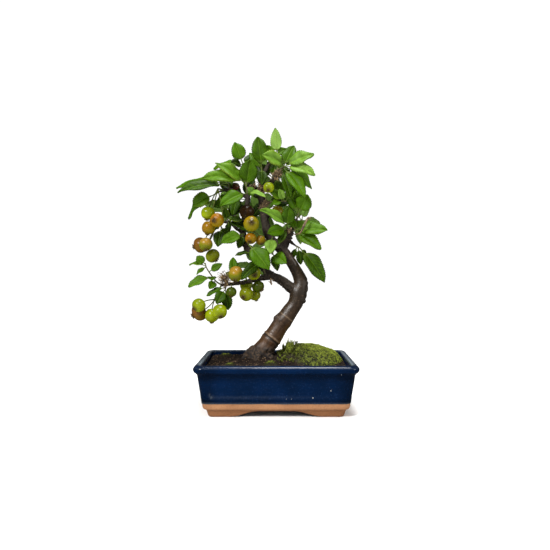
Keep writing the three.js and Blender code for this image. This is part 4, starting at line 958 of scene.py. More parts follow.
# The bark: the fused skin moved along its normals by relief, a sum of noises that grows where it is rough,
# caked or knobbed, with a ridge and a groove at each old bud ring.
def barkShape():
    limbRows = [wood["trunk"], *wood["branches"], *[rootRows(*root) for root in wood["roots"]]]
    around = wood["around"]
    limbs = [limbShape(rows, around["branch" if number else "trunk"], wood["stepsPerRow"])
             for number, rows in enumerate(limbRows)]
    limbs += [limbShape(knobRows(*knob), around["branch"]) for knob in wood["knobs"]]
    points, corners, normals = fusedSkin(joinShapes(limbs), wood["voxel"])
    along, angle, radius, number, samples = nearestOnLimbs(points, limbRows)
    trunkSamples = samples[samples[:, 5] == 0]
    onTrunk, height = number == 0, points[:, 2]
    unrolled = np.stack([8 * np.cos(angle), 8 * np.sin(angle), along], 1)  # seamless round the limb
    relief = 0.10 * softNoise(unrolled, np.array([3.5, 3.5, 9.0]), 1) + 0.07 * softNoise(points, 1.8, 2)
    rough = np.clip(smoothStep(wood["roughBelow"] - height, 0, 16) + smoothStep(height, *wood["roughAbove"])
                    + (~onTrunk) * smoothStep(wood["roughLeftOf"] - points[:, 0], 0, 12), 0, 1)
    coarse = rough * (1 + wood["thickRelief"] * (~onTrunk) * smoothStep(radius, *wood["thickLimb"]))
    relief += coarse * (0.6 * softNoise(unrolled, np.array([2.6, 2.6, 5.5]), 3)
                        + 0.5 * softNoise(points, 1.9, 4))
    caked = smoothStep(wood["cakedTo"] - height + 5 * softNoise(points, 6, 10), 0, 13)
    relief += caked * (1.0 * softNoise(points, 5.5, 8) + 0.9 * softNoise(points, 2.8, 9))
    groove, scar = np.zeros(len(points)), np.zeros(len(points))
    for x, y, z, ridge, cut, paleness in wood["scars"]:
        place = trunkSamples[np.argmin(np.linalg.norm(trunkSamples[:, :3] - [x, y, z], axis=1)), 4]
        offset = along - place - 0.9 * np.sin(angle + 0.5) - 0.35 * softNoise(unrolled, 5, 6)
        relief += onTrunk * (0.85 * ridge * bump(offset, 1.1, 0.9) - 0.6 * cut * bump(offset, -0.5, 0.7))
        groove += onTrunk * cut * bump(offset, -0.5, 0.8)
        scar += onTrunk * paleness * bump(offset, 1.2, 0.5 + 0.4 * ridge)
    for x, y, z, size in wood["knobs"]:
        near = bump(np.linalg.norm(points - [x, y, z], axis=1), 0, size * 1.5)
        relief += near * (1.4 * softNoise(points, 3.4, 7) + 0.6 * softNoise(points, 1.9, 12))
        rough = np.maximum(rough, near)
    points = points + normals * relief[:, None]
    low = smoothStep(150 - points[:, 2], 0, 75) * (1 - 0.75 * caked)  # warmer towards the ground
    return {
        "points": points, "quads": corners, "triangles": np.zeros((0, 3), int),
        "along": along, "barkX": unrolled[:, 0], "barkY": unrolled[:, 1],
        "rough": rough, "groove": groove, "scar": scar, "low": low, "earthy": caked,
    }


# Dry spurs: stubs swollen at each year's growth, each with a bud, and dried threads coiling off them.
def drySpurs(random):
    shapes, sides = [], wood["around"]
    for index, (at, towards, stubs, length, threads, reach) in enumerate(wood["spurs"]):
        axis = unit(towards)
        paths = []
        for i in range(stubs):
            seed = 17 * index + 5 * i
            sway = np.array([draw(seed) - 0.5, draw(seed + 1) - 0.5, draw(seed + 2) - 0.5])
            end = at + axis * length * (0.8 + 0.4 * draw(seed + 3)) + sway * length * 0.8
            foot = at + sway * 3.5
            share = np.linspace(0, 1, 22)
            curl = unit(random.normal(size=3)) * 1.2
            path = foot + (end - foot) * share[:, None] + curl * np.sin(np.pi * share)[:, None]
            thick = (1.3 - 0.5 * share) * (1 + 0.3 * np.abs(np.sin(share * np.pi * length / 3.2)))
            rows = np.hstack([path, thick[:, None]])
            shapes.append(limbShape(rows, sides["stub"], twiggy=1.0, rough=1.0))
            paths.append(path[5:])
            bud = np.linspace(0, 1, 7)[:, None]
            rows = np.hstack([end + axis * 4.2 * bud, 1.35 * np.sin(np.pi * (0.22 + 0.75 * bud))])
            shapes.append(limbShape(rows, sides["bud"], twiggy=0.6, rough=0.6))
        feet = np.vstack(paths)
        for _ in range(threads):  # a thread coils about the way it grows
            share = np.linspace(0, 1, 9)[:, None]
            way = unit(axis * 0.5 + random.normal(size=3))
            coil = unit(np.cross(way, random.normal(size=3)))
            turns, size = random.uniform(2, 7), reach * random.uniform(0.08, 0.26)
            winding = coil * (np.cos(turns * share) - 1) + np.cross(way, coil) * np.sin(turns * share)
            start = feet[random.integers(len(feet))]
            path = start + way * reach * random.uniform(0.4, 1.1) * share + size * winding
            rows = np.hstack([path, random.uniform(0.32, 0.62) * (1 - 0.4 * share)])
            shapes.append(limbShape(rows, sides["thread"], twiggy=random.uniform(0.3, 1.0), rough=0.8))
    return shapes


# Crabapple bark: thin, smooth and satin with corky lenticels; rough and flaking where old, caked with soil on
# the roots, bleached on dry twigs; the grooves of old bud rings are painted near black as shade.
bark, tree, shader, place = newFinish("crabappleBark", {"IOR": 1.5, "Specular IOR Level": 0.5})
values = {name: storedValue(tree, name)
          for name in ("along", "barkX", "barkY", "rough", "groove", "scar", "low", "earthy", "twiggy")}
unrolled = addNode(tree, "ShaderNodeCombineXYZ", {},
                   {"X": values["barkX"], "Y": values["barkY"], "Z": values["along"]})
squeezed = addNode(tree, "ShaderNodeMapping", {}, {"Vector": unrolled.outputs[0], "Scale": (0.22, 0.22, 1.5)})
lenticel = addNode(tree, "ShaderNodeTexNoise", {},
                   {"Vector": squeezed.outputs[0], "Scale": 0.9, "Detail": 2.0})
streakPlace = addNode(tree, "ShaderNodeMapping", {}, {"Vector": unrolled.outputs[0], "Scale": (1, 1, 0.16)})
streak = addNode(tree, "ShaderNodeTexNoise", {},
                 {"Vector": streakPlace.outputs[0], "Scale": 0.35, "Detail": 5.0})
flake = noiseNode(tree, place, 3.2, 6.0)
smoothBark = mixNode(tree, streak.outputs["Fac"], "#0b0703", "#33230f")
roughBark = mixNode(tree, flake, "#040200", "#2b2010")
roughMask = mathNode(tree, "MULTIPLY", values["rough"], 0.75, clamped=True)
mixed = mixNode(tree, roughMask, smoothBark, roughBark)
warmBark = mixNode(tree, streak.outputs["Fac"], "#160a02", "#66401a")
lowMask = mathNode(tree, "MULTIPLY", values["low"], 0.7, clamped=True)
warmed = mixNode(tree, lowMask, mixed, warmBark)
lenticelMask = rampNode(tree, lenticel.outputs["Fac"], 0.58, 0.72, end=0.5, smooth=True)
dotted = mixNode(tree, lenticelMask, warmed, "#614b36")
scarred = mixNode(tree, values["scar"], dotted, "#7d6850")
# painted shade: the bud rings' grooves are coloured near black
grooveShaded = mixNode(tree, values["groove"], scarred, "#0e0805")
flakeMask = rampNode(tree, flake, 0.4, 0.66, smooth=True)
caked = mixNode(tree, flakeMask, "#110a05", "#3e2d1b")
earthed = mixNode(tree, values["earthy"], grooveShaded, caked)
dryTwig = mixNode(tree, flakeMask, "#4a3520", "#a58a60")
barkColour = mixNode(tree, values["twiggy"], earthed, dryTwig)
tree.links.new(barkColour, shader.inputs["Base Color"])
satin = rampNode(tree, values["rough"], start=0.43, end=0.85)
tree.links.new(satin, shader.inputs["Roughness"])
barkHeight = mathNode(tree, "ADD", flake, lenticelMask)
barkBump = bumpNode(tree, 0.35, 0.0005, barkHeight)
tree.links.new(barkBump, shader.inputs["Normal"])

skin = barkShape()
deadTwig = limbShape(wood["deadTwig"], wood["around"]["stub"], 8, twiggy=0.55, rough=0.5)
spurs = drySpurs(np.random.default_rng(wood["seed"]))
makePiece("trunkAndBranches", joinShapes([skin, *spurs, deadTwig]), [bark], ["trunk"])
print("wood made:", len(skin["quads"]), "faces in its skin")


leaf = {
    "petioleEnd": 0.18, "bladeShare": 0.82, "petioleRows": 6, "petioleWidth": 1.25, "petioleThick": 1.1,
    "thickness": 0.6, "fold": 0.25, "camber": 0.07,
    "toothPitch": 2.5, "toothDepth": 1.05, "toothRows": (0, 0.4, 0.8, 1.0), "leastTeeth": 8,
    "veinPairs": 7.5, "veinRelief": 0.17, "veinLean": 0.85,
    "wave": 0.06, "waves": 1.7, "twist": 0.24, "columns": 13, "lastRow": 0.985,
}


# One leaf: a curved midrib from foot to tip, a blade whose half-width is a power of a sine wave, saw-toothed,
# folded up along the midrib, waved at its edge and dimpled along its side veins; the faces meet at the rim.
def leafShape(base, tip, width, arch, facing, tone, seed):
    random = np.random.default_rng(int(seed))
    chord = tip - base
    length = np.linalg.norm(chord)
    direction = chord / length
    upward = unit(facing - facing.dot(direction) * direction)
    crest = (base + tip) / 2 + upward * 2 * arch * length
    bladeLength = leaf["bladeShare"] * length
    teeth = max(int(round(bladeLength / leaf["toothPitch"])), leaf["leastTeeth"])
    perTooth = len(leaf["toothRows"])
    count, before = perTooth * teeth + 1, leaf["petioleRows"]  # rows of the blade and of the petiole
    blade = leaf["lastRow"] * np.arange(count) / (perTooth * teeth)
    end = leaf["petioleEnd"]
    share = np.concatenate([end * np.arange(before) / before, end + (1 - end) * blade])[:, None]
    b = np.concatenate([np.zeros(before), blade])[:, None]  # share of the blade
    midrib = bentPath(base, crest, tip, share)
    tangent = unit(2 * (1 - share) * (crest - base) + 2 * share * (tip - crest))
    side = unit(np.cross(tangent, upward))
    normal = np.cross(side, tangent)
    turn = leaf["twist"] * (2 * random.uniform() - 1) * b**1.5
    side, normal = side * np.cos(turn) + normal * np.sin(turn), normal * np.cos(turn) - side * np.sin(turn)

    broadest, fullness = random.uniform(0.7, 0.84), random.uniform(0.6, 0.78)
    half = width / 2 * np.sin(np.pi * np.clip(b, 1e-4, 1) ** broadest) ** fullness
    half = half * (1 - 0.24 * smoothStep(b, 0.82, 1.0))
    half = np.sqrt(half**2 + (leaf["petioleWidth"] / 2 * (1 - 0.6 * b)) ** 2)
    t = np.linspace(-1, 1, leaf["columns"])[None, :]
    v = np.sign(t) * np.abs(t) ** 1.2
    saw = np.concatenate([np.zeros(before), np.resize(leaf["toothRows"], count)])[:, None]
    sizes = random.uniform(0.6, 1.2, (2, teeth + 1)).repeat(perTooth, 1)[:, :count]
    sizes = np.concatenate([np.zeros((2, before)), sizes], 1)
    sizes = np.where(t < 0, sizes[0][:, None], sizes[1][:, None])  # either edge has its own
    depth = leaf["toothDepth"] * saw * sizes * np.sin(np.pi * np.clip(b, 0, 1)) ** 0.5 * min(1, width / 16)
    x = v * half + np.sign(v) * np.abs(v) ** 3 * depth

    spread = np.abs(v)
    phase = leaf["veinPairs"] * (b - leaf["veinLean"] * np.abs(x) / bladeLength * (1 + 0.35 * spread)) * 1.1
    present = smoothStep(b, 0.02, 0.14)
    dimple = -leaf["veinRelief"] * np.cos(2 * np.pi * phase) * np.sin(np.pi * spread) ** 0.7 * present
    swing = random.uniform(0, 6.28, 2)
    swing = np.where(t < 0, swing[0], swing[1])
    wave = leaf["wave"] * width * spread**2 * np.sin(2 * np.pi * leaf["waves"] * b + swing) * present
    camber = leaf["camber"] * width * np.sin(np.pi * spread) * present
    rise = leaf["fold"] * (np.sqrt(x**2 + 0.8) - 0.9) + camber
    high = (rise + dimple + wave)[..., None]
    middle = midrib[:, None] + side[:, None] * x[..., None] + normal[:, None] * high

    rounded = np.sqrt(np.clip(1 - spread**2, 0, 1)) * leaf["petioleThick"] / 2 * (1 - present)
    flat = np.sqrt(np.clip(1 - spread**6, 0, 1)) * leaf["thickness"] / 2 * present
    thick = rounded + flat
    rib = 0.55 * bump(x, 0, 0.65) * (1 - 0.75 * b) * present
    groove = 0.16 * bump(x, 0, 0.5) * present
    top = middle + normal[:, None] * (thick - groove)[..., None]
    under = middle - normal[:, None] * (thick + rib)[..., None]
    rings = np.concatenate([top, under[:, -2:0:-1]], 1)

    def both(value):  # the same value on both faces of the leaf
        value = np.broadcast_to(value, middle.shape[:2])
        return np.concatenate([value, value[:, -2:0:-1]], 1)

    below = np.concatenate([np.zeros(middle.shape[:2]), np.ones((len(middle), leaf["columns"] - 2))], 1)
    return tubeShape(rings, base, tip, tone=tone, age=float(random.uniform()), below=below,
                     vein=both(phase), across=both(np.abs(x)), edge=both(spread), stalk=both(1 - present))


def alongPath(path, share):  # the point a fraction of the way along a polyline
    steps = np.linalg.norm(np.diff(path, axis=0), axis=1)
    place = np.concatenate([[0], np.cumsum(steps)])
    return np.array([np.interp(share * place[-1], place, path[:, k]) for k in range(3)])


# Each shoot: its stem outwards from the branch, the stem's radius, and its leaves. A leaf is the share of the
# stem where it stands, its tip's x, y, z, width, turn, arch, tone (0 darkest to 9 palest; painted light and
# shade: leaves in the crown's shade are given dark tones, sunlit ones pale). Turn is the way the upper face
# looks: 0 to the front, 90 straight up, 180 to the back.
shoots = {
    "shoot_low_tip": ([[-74, -12, 167], [-82, -10, 172], [-89, -9, 181], [-95, -8, 190],
                       [-97, -8, 197]], 1.1, [
        [0.95, -109, -8, 206, 12, 5, 0.06, 4], [0.88, -120, -2, 194, 11, 61, 0.14, 6],
        [0.66, -73, -12, 196, 10, 14, 0.08, 4], [0.86, -108, -14, 181, 8, 52, 0.08, 4],
        [0.46, -87, -22, 173, 11, 10, 0.05, 2], [0.45, -119, -16, 164, 16, 51, 0.08, 6],
        [0.28, -90, -20, 162, 11, 5, 0.06, 4]]),
    "shoot_low_hanging": ([[-68, -13, 168], [-69, -15, 161]], 1.4, [
        [0.56, -94, -18, 152, 11, 60, 0.05, 3], [0.94, -80, -25, 142, 15, 8, 0.06, 2],
        [0.97, -65, -10, 133, 14, 20, 0.1, 2]]),
    "shoot_low_folded": ([[-54, -14, 170], [-58, -9, 178]], 1, [
        [0.84, -59, -8, 205, 12, 9, 0.04, 5], [0.8, -69, -5, 184, 8, 15, 0.06, 2]]),
    "shoot_low_inner": ([[-14, -11, 178], [-19, -19, 197]], 1.2, [
        [0.96, -46, -38, 174, 14, 30, 0.2, 1], [0.88, -38, -12, 196, 8, 18, 0.1, 0],
        [0.64, -14, -9, 203, 8, 5, 0.05, 0]]),
    "shoot_front_broad": ([[-37, 1, 214], [-34, -14, 216], [-38, -31, 223]], 1.2, [
        [0.95, -9, -42, 187, 25, 36, 0.05, 4]]),
    "shoot_front_pale": ([[-6, -2, 230], [-5, -13, 232]], 1.1, [[0.98, -9, -34, 208, 16, 32, 0.06, 8]]),
    "shoot_trunk": ([[1, -4, 221], [-6, -13, 209]], 1.1, [
        [0.98, 14, -28, 196, 18, 10, 0.05, 5], [0.8, 2, -16, 186, 12, 20, 0.05, 1]]),
    "shoot_knob_front": ([[16, -3, 241], [15, -10, 247]], 1.6, [
        [0.95, -22, -44, 265, 21, 35, 0.08, 7], [0.66, -12, -30, 236, 16, 11, 0.05, 5],
        [0.79, 17, -16, 273, 19, 5, 0.03, 3], [0.54, 3, -20, 222, 10, 37, 0.05, 1]]),
    "shoot_knob_right": ([[18, -2, 237], [27, -4, 243]], 1.5, [
        [0.95, 70, -14, 241, 22, 34, 0.06, 6], [0.71, 61, -18, 215, 21, 48, 0.04, 4],
        [0.72, 49, 4, 231, 12, 44, 0.06, 2], [0.92, 22, 2, 258, 10, 5, 0.05, 5],
        [0.7, 45, 6, 256, 14, 30, 0.05, 4]]),
    "shoot_right_hanging": ([[27, -2, 221], [33, -3, 218]], 1.2, [
        [0.98, 66, -12, 170, 23, 42, 0.07, 2], [0.54, 34, 2, 195, 11, 50, 0.05, 1],
        [0.38, 22, 5, 203, 8, 35, 0.05, 1], [0.94, 43, 12, 199, 12, 46, 0.06, 1]]),
    "shoot_right_rising": ([[29, 6, 259], [32, 6, 268]], 1.3, [
        [0.8, 44, 0, 292, 23, 5, 0.05, 5], [0.64, 17, 4, 302, 19, 32, 0.05, 4],
        [0.8, 31, 18, 300, 17, 40, 0.05, 4]]),
    "shoot_top_right": ([[4, -4, 324], [12, -6, 330]], 1.8, [
        [0.84, 52, -12, 345, 23, 38, 0.06, 7], [0.78, 32, 6, 340, 13, 53, 0.06, 6],
        [0.85, 53, -16, 315, 21, 36, 0.14, 8], [0.95, 49, 6, 300, 20, 48, 0.1, 5],
        [0.64, 39, -24, 284, 21, 54, 0.08, 5], [0.75, 25, 4, 360, 19, 34, 0.05, 3],
        [0.35, 20, -9, 285, 14, 47, 0.06, 2], [0.89, -19, -30, 340, 21, 22, 0.12, 7]]),
    "shoot_apex": ([[-10, 1, 336], [1, -1, 346]], 1.5, [
        [0.97, -1, -2, 384, 15, 155, 0.03, 9], [0.55, -21, 22, 363, 15, 16, 0.05, 3],
        [0.72, -14, -5, 359, 11, 7, 0.04, 4], [0.94, 14, 8, 357, 13, 15, 0.05, 4]]),
    "shoot_heart": ([[-6, 0, 311], [-5, 8, 317]], 1.2, [
        [0.82, 7, 12, 290, 16, 18, 0.05, 2], [0.49, 0, 15, 341, 14, 10, 0.04, 2],
        [0.98, 20, 10, 327, 16, 20, 0.05, 2], [0.97, -30, 15, 337, 15, 12, 0.02, 1]]),
    "shoot_crown_middle": ([[-17, 3, 318], [-20, -4, 329]], 1.5, [
        [0.84, -25, -8, 370, 21, 5, 0.03, 3], [0.67, -37, 2, 350, 14, 37, 0.05, 4],
        [0.95, -19, -12, 303, 15, 5, 0.04, 1]]),
    "shoot_crown_left": ([[-48, 0, 325], [-46, -2, 335]], 1.4, [
        [0.96, -57, -6, 363, 19, 5, 0.03, 5], [0.74, -61, -20, 333, 12, 10, 0.06, 0],
        [0.51, -88, 13, 329, 20, 49, 0.1, 5], [0.72, -28, 14, 347, 15, 27, 0.06, 2]]),
    "shoot_crown_front": ([[-43, 3, 314], [-39, -16, 291]], 1.4, [
        [0.58, -34, -28, 335, 24, 8, 0.05, 3], [0.98, -74, -33, 271, 23, 35, 0.1, 4],
        [0.94, -14, -28, 284, 12, 54, 0.1, 8], [0.45, -83, -16, 332, 19, 31, 0.12, 6],
        [0.25, -100, -20, 310, 21, 32, 0.14, 6], [0.49, -31, -12, 288, 12, 20, 0.08, 4]]),
    "shoot_left_upper": ([[-64, 0, 298], [-66, -5, 306]], 1.4, [
        [0.98, -142, 22, 303, 26, 52, 0.08, 5], [0.63, -132, -26, 290, 25, 46, 0.1, 2],
        [0.98, -92, 14, 322, 14, 40, 0.06, 3]]),
    "shoot_left_middle": ([[-82, -4, 293], [-86, -8, 290]], 1.2, [
        [0.95, -114, -8, 275, 20, 14, 0.14, 3], [0.6, -122, 8, 258, 20, 54, 0.1, 3]]),
    "shoot_left_broad": ([[-52, 2, 295], [-53, 1, 289]], 1.3, [
        [0.98, -88, 4, 275, 19, 30, 0.06, 3], [0.71, -60, -4, 262, 14, 12, 0.05, 2]]),
    "shoot_shade_left": ([[-40, 7, 283], [-43, 13, 289]], 1.3, [
        [0.98, -80, 15, 311, 18, 20, 0.05, 1], [0.84, -33, 13, 319, 17, 12, 0.05, 1],
        [0.64, -67, 15, 265, 17, 20, 0.05, 0], [0.58, -80, 14, 287, 17, 25, 0.04, 3]]),
    "shoot_shade_right": ([[-19, 7, 281], [-14, 13, 285]], 1.3, [
        [0.98, -38, 21, 306, 17, 15, 0.05, 0], [0.98, 20, 17, 283, 17, 15, 0.05, 1],
        [0.95, -34, 16, 262, 14, 15, 0.03, 0]]),
    "shoot_hook": ([[-65, 8, 254], [-68, 0, 258]], 1.2, [
        [0.98, -46, -12, 254, 12, 41, 0.06, 1], [0.7, -40, -8, 241, 15, 52, 0.05, 1],
        [0.35, -66, -6, 238, 8, 44, 0.05, 1], [0.7, -71, -8, 273, 10, 18, 0.05, 1]]),
    "shoot_hook_end": ([[-78, 9, 252], [-76, 3, 246]], 1.2, [
        [0.95, -80, -9, 219, 16, 5, 0.05, 1], [0.47, -68, 14, 232, 11, 23, 0.05, 1]]),
    "shoot_leader_front": ([[-46, 5, 235], [-44, -7, 237]], 1.3, [
        [0.98, -74, -20, 223, 18, 31, 0.1, 6], [0.86, -52, -8, 217, 11, 5, 0.04, 1]]),
    "shoot_leader_low": ([[-33, -1, 208], [-34, -8, 211]], 1, [[0.96, -56, -8, 207, 9, 53, 0.08, 1]]),
    "shoot_centre": ([[-17, 4, 279], [-4, -2, 282], [14, -6, 282]], 1.5, [
        [0.88, -9, -8, 297, 14, 32, 0.08, 5], [0.83, -7, -14, 275, 12, 42, 0.06, 5],
        [0.91, 4, -16, 297, 10, 8, 0.06, 8], [0.98, 26, 0, 302, 12, 27, 0.05, 3]]),
}
# Rosettes on the side away from the front: branch end, shoot direction, leaves, length, draw seed.
rosettes = {
    "rosette_back_low": ([-4, 44, 232], [-0.4, 0.8, 0.5], 4, 44, 10),
    "rosette_back_middle": ([8, 42, 284], [0.4, 0.8, 0.5], 5, 44, 179),
    "rosette_back_left": ([-66, 41, 269], [-0.4, 0.9, 0.4], 5, 42, 10),
    "rosette_back_right": ([36, 36, 258], [0.2, 0.9, 0.4], 5, 36, 165),
    "rosette_back_inner": ([-30, 26, 274], [0.2, 0.8, -0.1], 5, 38, 212),
    "rosette_back_crown": ([-15, 28, 326], [0.1, 0.8, 0.6], 5, 42, 37),
    "rosette_back_under": ([-28, 30, 195], [-0.5, 0.8, 0.2], 4, 38, 105),
}

# Living leaf: a waxy skin over green flesh, satin above, paler and matt below, veins lighter than the blade;
# each leaf is painted darker or paler by its tone for the shade or light it gets.
leafFinish, tree, shader, place = newFinish("waxyLeaf", {"IOR": 1.45, "Specular IOR Level": 0.09})
values = {name: storedValue(tree, name)
          for name in ("tone", "age", "below", "vein", "across", "edge", "stalk")}
mottle = noiseNode(tree, place, 7, 4.0)
cellGrain = noiseNode(tree, place, 1.1, 2.0)
mottleShift = mathNode(tree, "MULTIPLY_ADD", mottle, 0.5, -0.25)
# painted light and shade: each leaf's tone makes it darker or paler as the light falls on it in the crown
toneHere = mathNode(tree, "ADD", values["tone"], mottleShift, clamped=True)
lower = rampNode(tree, toneHere, high=0.55)
upper = rampNode(tree, toneHere, 0.55)
pale = mathNode(tree, "POWER", upper, 1.9)
deep = mixNode(tree, lower, "#0f1c00", "#345300")
bright = mixNode(tree, pale, deep, "#6c8a38")
underSide = mathNode(tree, "MULTIPLY", values["below"], 0.7)
faced = mixNode(tree, underSide, bright, "#5f7a38")
sideVein = mathNode(tree, "PINGPONG", values["vein"], 0.5)
sideLine = rampNode(tree, sideVein, 0.085, 0.02, end=0.14, smooth=True)
midLine = rampNode(tree, values["across"], 0.5, 0.15, end=0.24, smooth=True)
lines = mathNode(tree, "MAXIMUM", sideLine, midLine)
veined = mixNode(tree, lines, faced, "#6f901e")
stalked = mixNode(tree, values["stalk"], veined, "#43541a")
oldLeaf = rampNode(tree, values["age"], 0.8)
margin = mathNode(tree, "POWER", values["edge"], 6.0)
scorch = mathNode(tree, "MULTIPLY", oldLeaf, margin, clamped=True)
scorched = mixNode(tree, scorch, stalked, "#5d6a18")
tree.links.new(scorched, shader.inputs["Base Color"])
sheen = rampNode(tree, values["below"], start=0.45, end=0.7)
tree.links.new(sheen, shader.inputs["Roughness"])
leafBump = bumpNode(tree, 0.25, 0.0003, cellGrain)
tree.links.new(leafBump, shader.inputs["Normal"])

# Young twig: green-brown skin with pale pores.
twigFinish, tree, shader, place = newFinish("youngTwig", {"Roughness": 0.6, "Specular IOR Level": 0.35})
pores = noiseNode(tree, place, 1.5, 3.0)
twigColour = mixNode(tree, pores, "#1c1a0c", "#55502a")
tree.links.new(twigColour, shader.inputs["Base Color"])


# One shoot: its leaves and then its tapering stem, in one mesh of two materials.
def makeShoot(name, stem, radius, leaves):
    rows = np.hstack([stem, (radius * (1 - 0.35 * np.linspace(0, 1, len(stem))))[:, None]])
    whole, index = pairShapes(joinShapes([leafShape(*row) for row in leaves]), limbShape(rows, 10, 8))
    makePiece(name + "_leaves", whole, [leafFinish, twigFinish], [name], index)


leafCount = 0
for shootNumber, (name, (stem, radius, leaves)) in enumerate(shoots.items()):
    stem = np.array(stem, float)
    made = []
    for leafNumber, (share, x, y, z, width, turn, arch, tone) in enumerate(leaves):
        tip = np.array([x, y, z], float)
        middle = alongPath(stem, share)
        base = middle + unit(tip - middle) * 0.4 * radius
        facing = np.array([0, -math.cos(math.radians(turn)), math.sin(math.radians(turn))])
        made.append([base, tip, width, arch, facing, tone / 9, 100 * shootNumber + leafNumber])
    makeShoot(name, stem, radius, made)
    leafCount += len(made)

# In a rosette each leaf is turned past the one before, leans out less, and droops a little.
for rosetteNumber, (name, (at, towards, leaves, length, seed)) in enumerate(rosettes.items()):
    at, axis = np.array(at, float), unit(towards)
    across = unit(np.array([1, 0, 0]) - axis[0] * axis)
    up = np.cross(axis, across)
    made = []
    for i in range(leaves):
        around = leafTurn * i + seed
        spread = 1.15 - 0.12 * i + 0.3 * draw(seed + i)
        reach = length * (0.8 + 0.3 * draw(seed + 2 * i + 1))
        out = across * math.cos(around) + up * math.sin(around)
        base = at + axis * (2 + 9 * i / leaves) + out * 0.4
        tip = base + axis * reach * math.cos(spread) + out * reach * math.sin(spread)
        tip[2] -= 0.12 * reach
        made.append([base, tip, 0.47 * reach, 0.07, axis + [0, 0, 0.8], (3 + 3 * draw(seed + i)) / 9,
                     9000 + 10 * rosetteNumber + i])
    makeShoot(name, np.array([at, at + axis * 11]), 1.6, made)
    leafCount += leaves
print("leaves made:", leafCount)


fruit = {
    "rows": 26, "around": 30, "stalk": 0.75, "sepal": 0.5, "stamens": 7,
    # ground colour, blush colour, how much of the skin the blush takes
    "skins": {
        "lime": ("#6e7a04", "#5a6604", 0.3), "yellowGreen": ("#625d04", "#6b5606", 0.35),
        # painted shade: darkGreen and brown are very dark skins for fruit that hang in the crown's shade
        "olive": ("#5d6504", "#4c5204", 0.5), "darkGreen": ("#364404", "#2a3504", 0.5),
        "amber": ("#6a5804", "#6a4c08", 0.4), "orange": ("#6c5804", "#724a08", 0.5),
        "russet": ("#57400c", "#5b3b12", 0.6), "bicolour": ("#565b06", "#775b1a", 0.5),
        "brown": ("#2c1b0c", "#180e06", 0.5), "mummy": ("#3a1a0e", "#1e0d06", 0.6),
    },
}
# Each bunch: its spur, the end of the stalk that its fruit share, and its fruit: x, y, z, radius, the way the
# calyx looks, length over width, skin.
bunches = {
    "fruit_left_top": ([-74, -2, 297], [-79, -15, 297], [
        [-93, -9, 265, 9.5, [-0.2, -0.2, -1], 1, "lime"],
        [-79, -24, 254, 9.5, [-0.4, -0.9, -0.1], 0.95, "orange"],
        [-92, -12, 245, 9.1, [-0.2, -0.1, -1], 1.06, "amber"]]),
    "fruit_left_hook": ([-82, 9, 246], [-87, 4, 241], [
        [-105, 1, 222, 10.8, [-1, -0.2, -0.3], 0.92, "russet"],
        [-95, -18, 222, 9.3, [0.1, -0.5, -0.9], 1, "bicolour"],
        [-87, -6, 207, 9.9, [0.6, -0.3, -0.7], 0.92, "olive"]]),
    "fruit_centre": ([-44, 3, 240], [-30, -9, 240], [
        [-33, -26, 249, 10.6, [0.05, -1, 0.15], 0.92, "yellowGreen"],
        [-34, -20, 230, 7.8, [-0.2, -0.7, -0.6], 1, "orange"],
        [-21, -12, 228, 6.8, [0.2, -0.5, -0.8], 1, "amber"]]),
    "fruit_crown": ([-10, 1, 307], None, [[-10, -17, 299, 7.3, [-0.1, -0.7, -0.6], 1, "lime"]]),
    "fruit_inner": ([-17, 5, 269], None, [[2, 4, 268, 8.6, [0.1, -0.3, -1], 1.05, "yellowGreen"]]),
    "fruit_low_upper": ([-40, -14, 172], [-41, -20, 177], [
        [-54, -25, 182, 9.6, [-0.1, -0.6, -0.8], 1.22, "bicolour"],
        [-30, -25, 183, 9.3, [0.2, -0.8, -0.3], 0.95, "olive"]]),
    "fruit_low_single": ([-61, -13, 168], None, [[-60, -24, 158, 7.1, [0, -0.4, -0.9], 1, "darkGreen"]]),
    "fruit_low_under": ([-33, -13, 174], [-33, -14, 166], [
        [-40, -23, 155, 9.4, [-0.4, -0.8, -0.4], 1, "olive"], [-29, -6, 153, 7.9, [0.3, 0.1, -1], 1, "olive"],
        [-24, -20, 165, 8.1, [0.7, -0.4, -0.6], 1, "darkGreen"],
        [-42, 3, 166, 8.2, [-0.5, 0.4, -0.8], 1, "lime"]]),
    "fruit_low_tip": ([-75, -11, 166], [-84, -10, 147], [
        [-104, -21, 140, 9.3, [-0.6, -0.6, -0.5], 1, "lime"],
        [-106, -1, 129, 12, [-0.9, -0.2, -0.5], 0.9, "russet"],
        [-75, -29, 132, 9.8, [0.2, -0.7, -0.7], 1, "lime"],
        [-87, -15, 126, 9.5, [0, -0.2, -1], 1.1, "lime"]]),
    "fruit_shaded": ([-42, 5, 278], None, [[-40, -9, 267, 10.2, [0, -0.6, -0.8], 0.95, "brown"]]),
    "fruit_dried": ([-56, 1, 296], None, [[-55, -8, 302, 5.2, [0.2, -0.9, 0.3], 0.9, "mummy"]]),
}


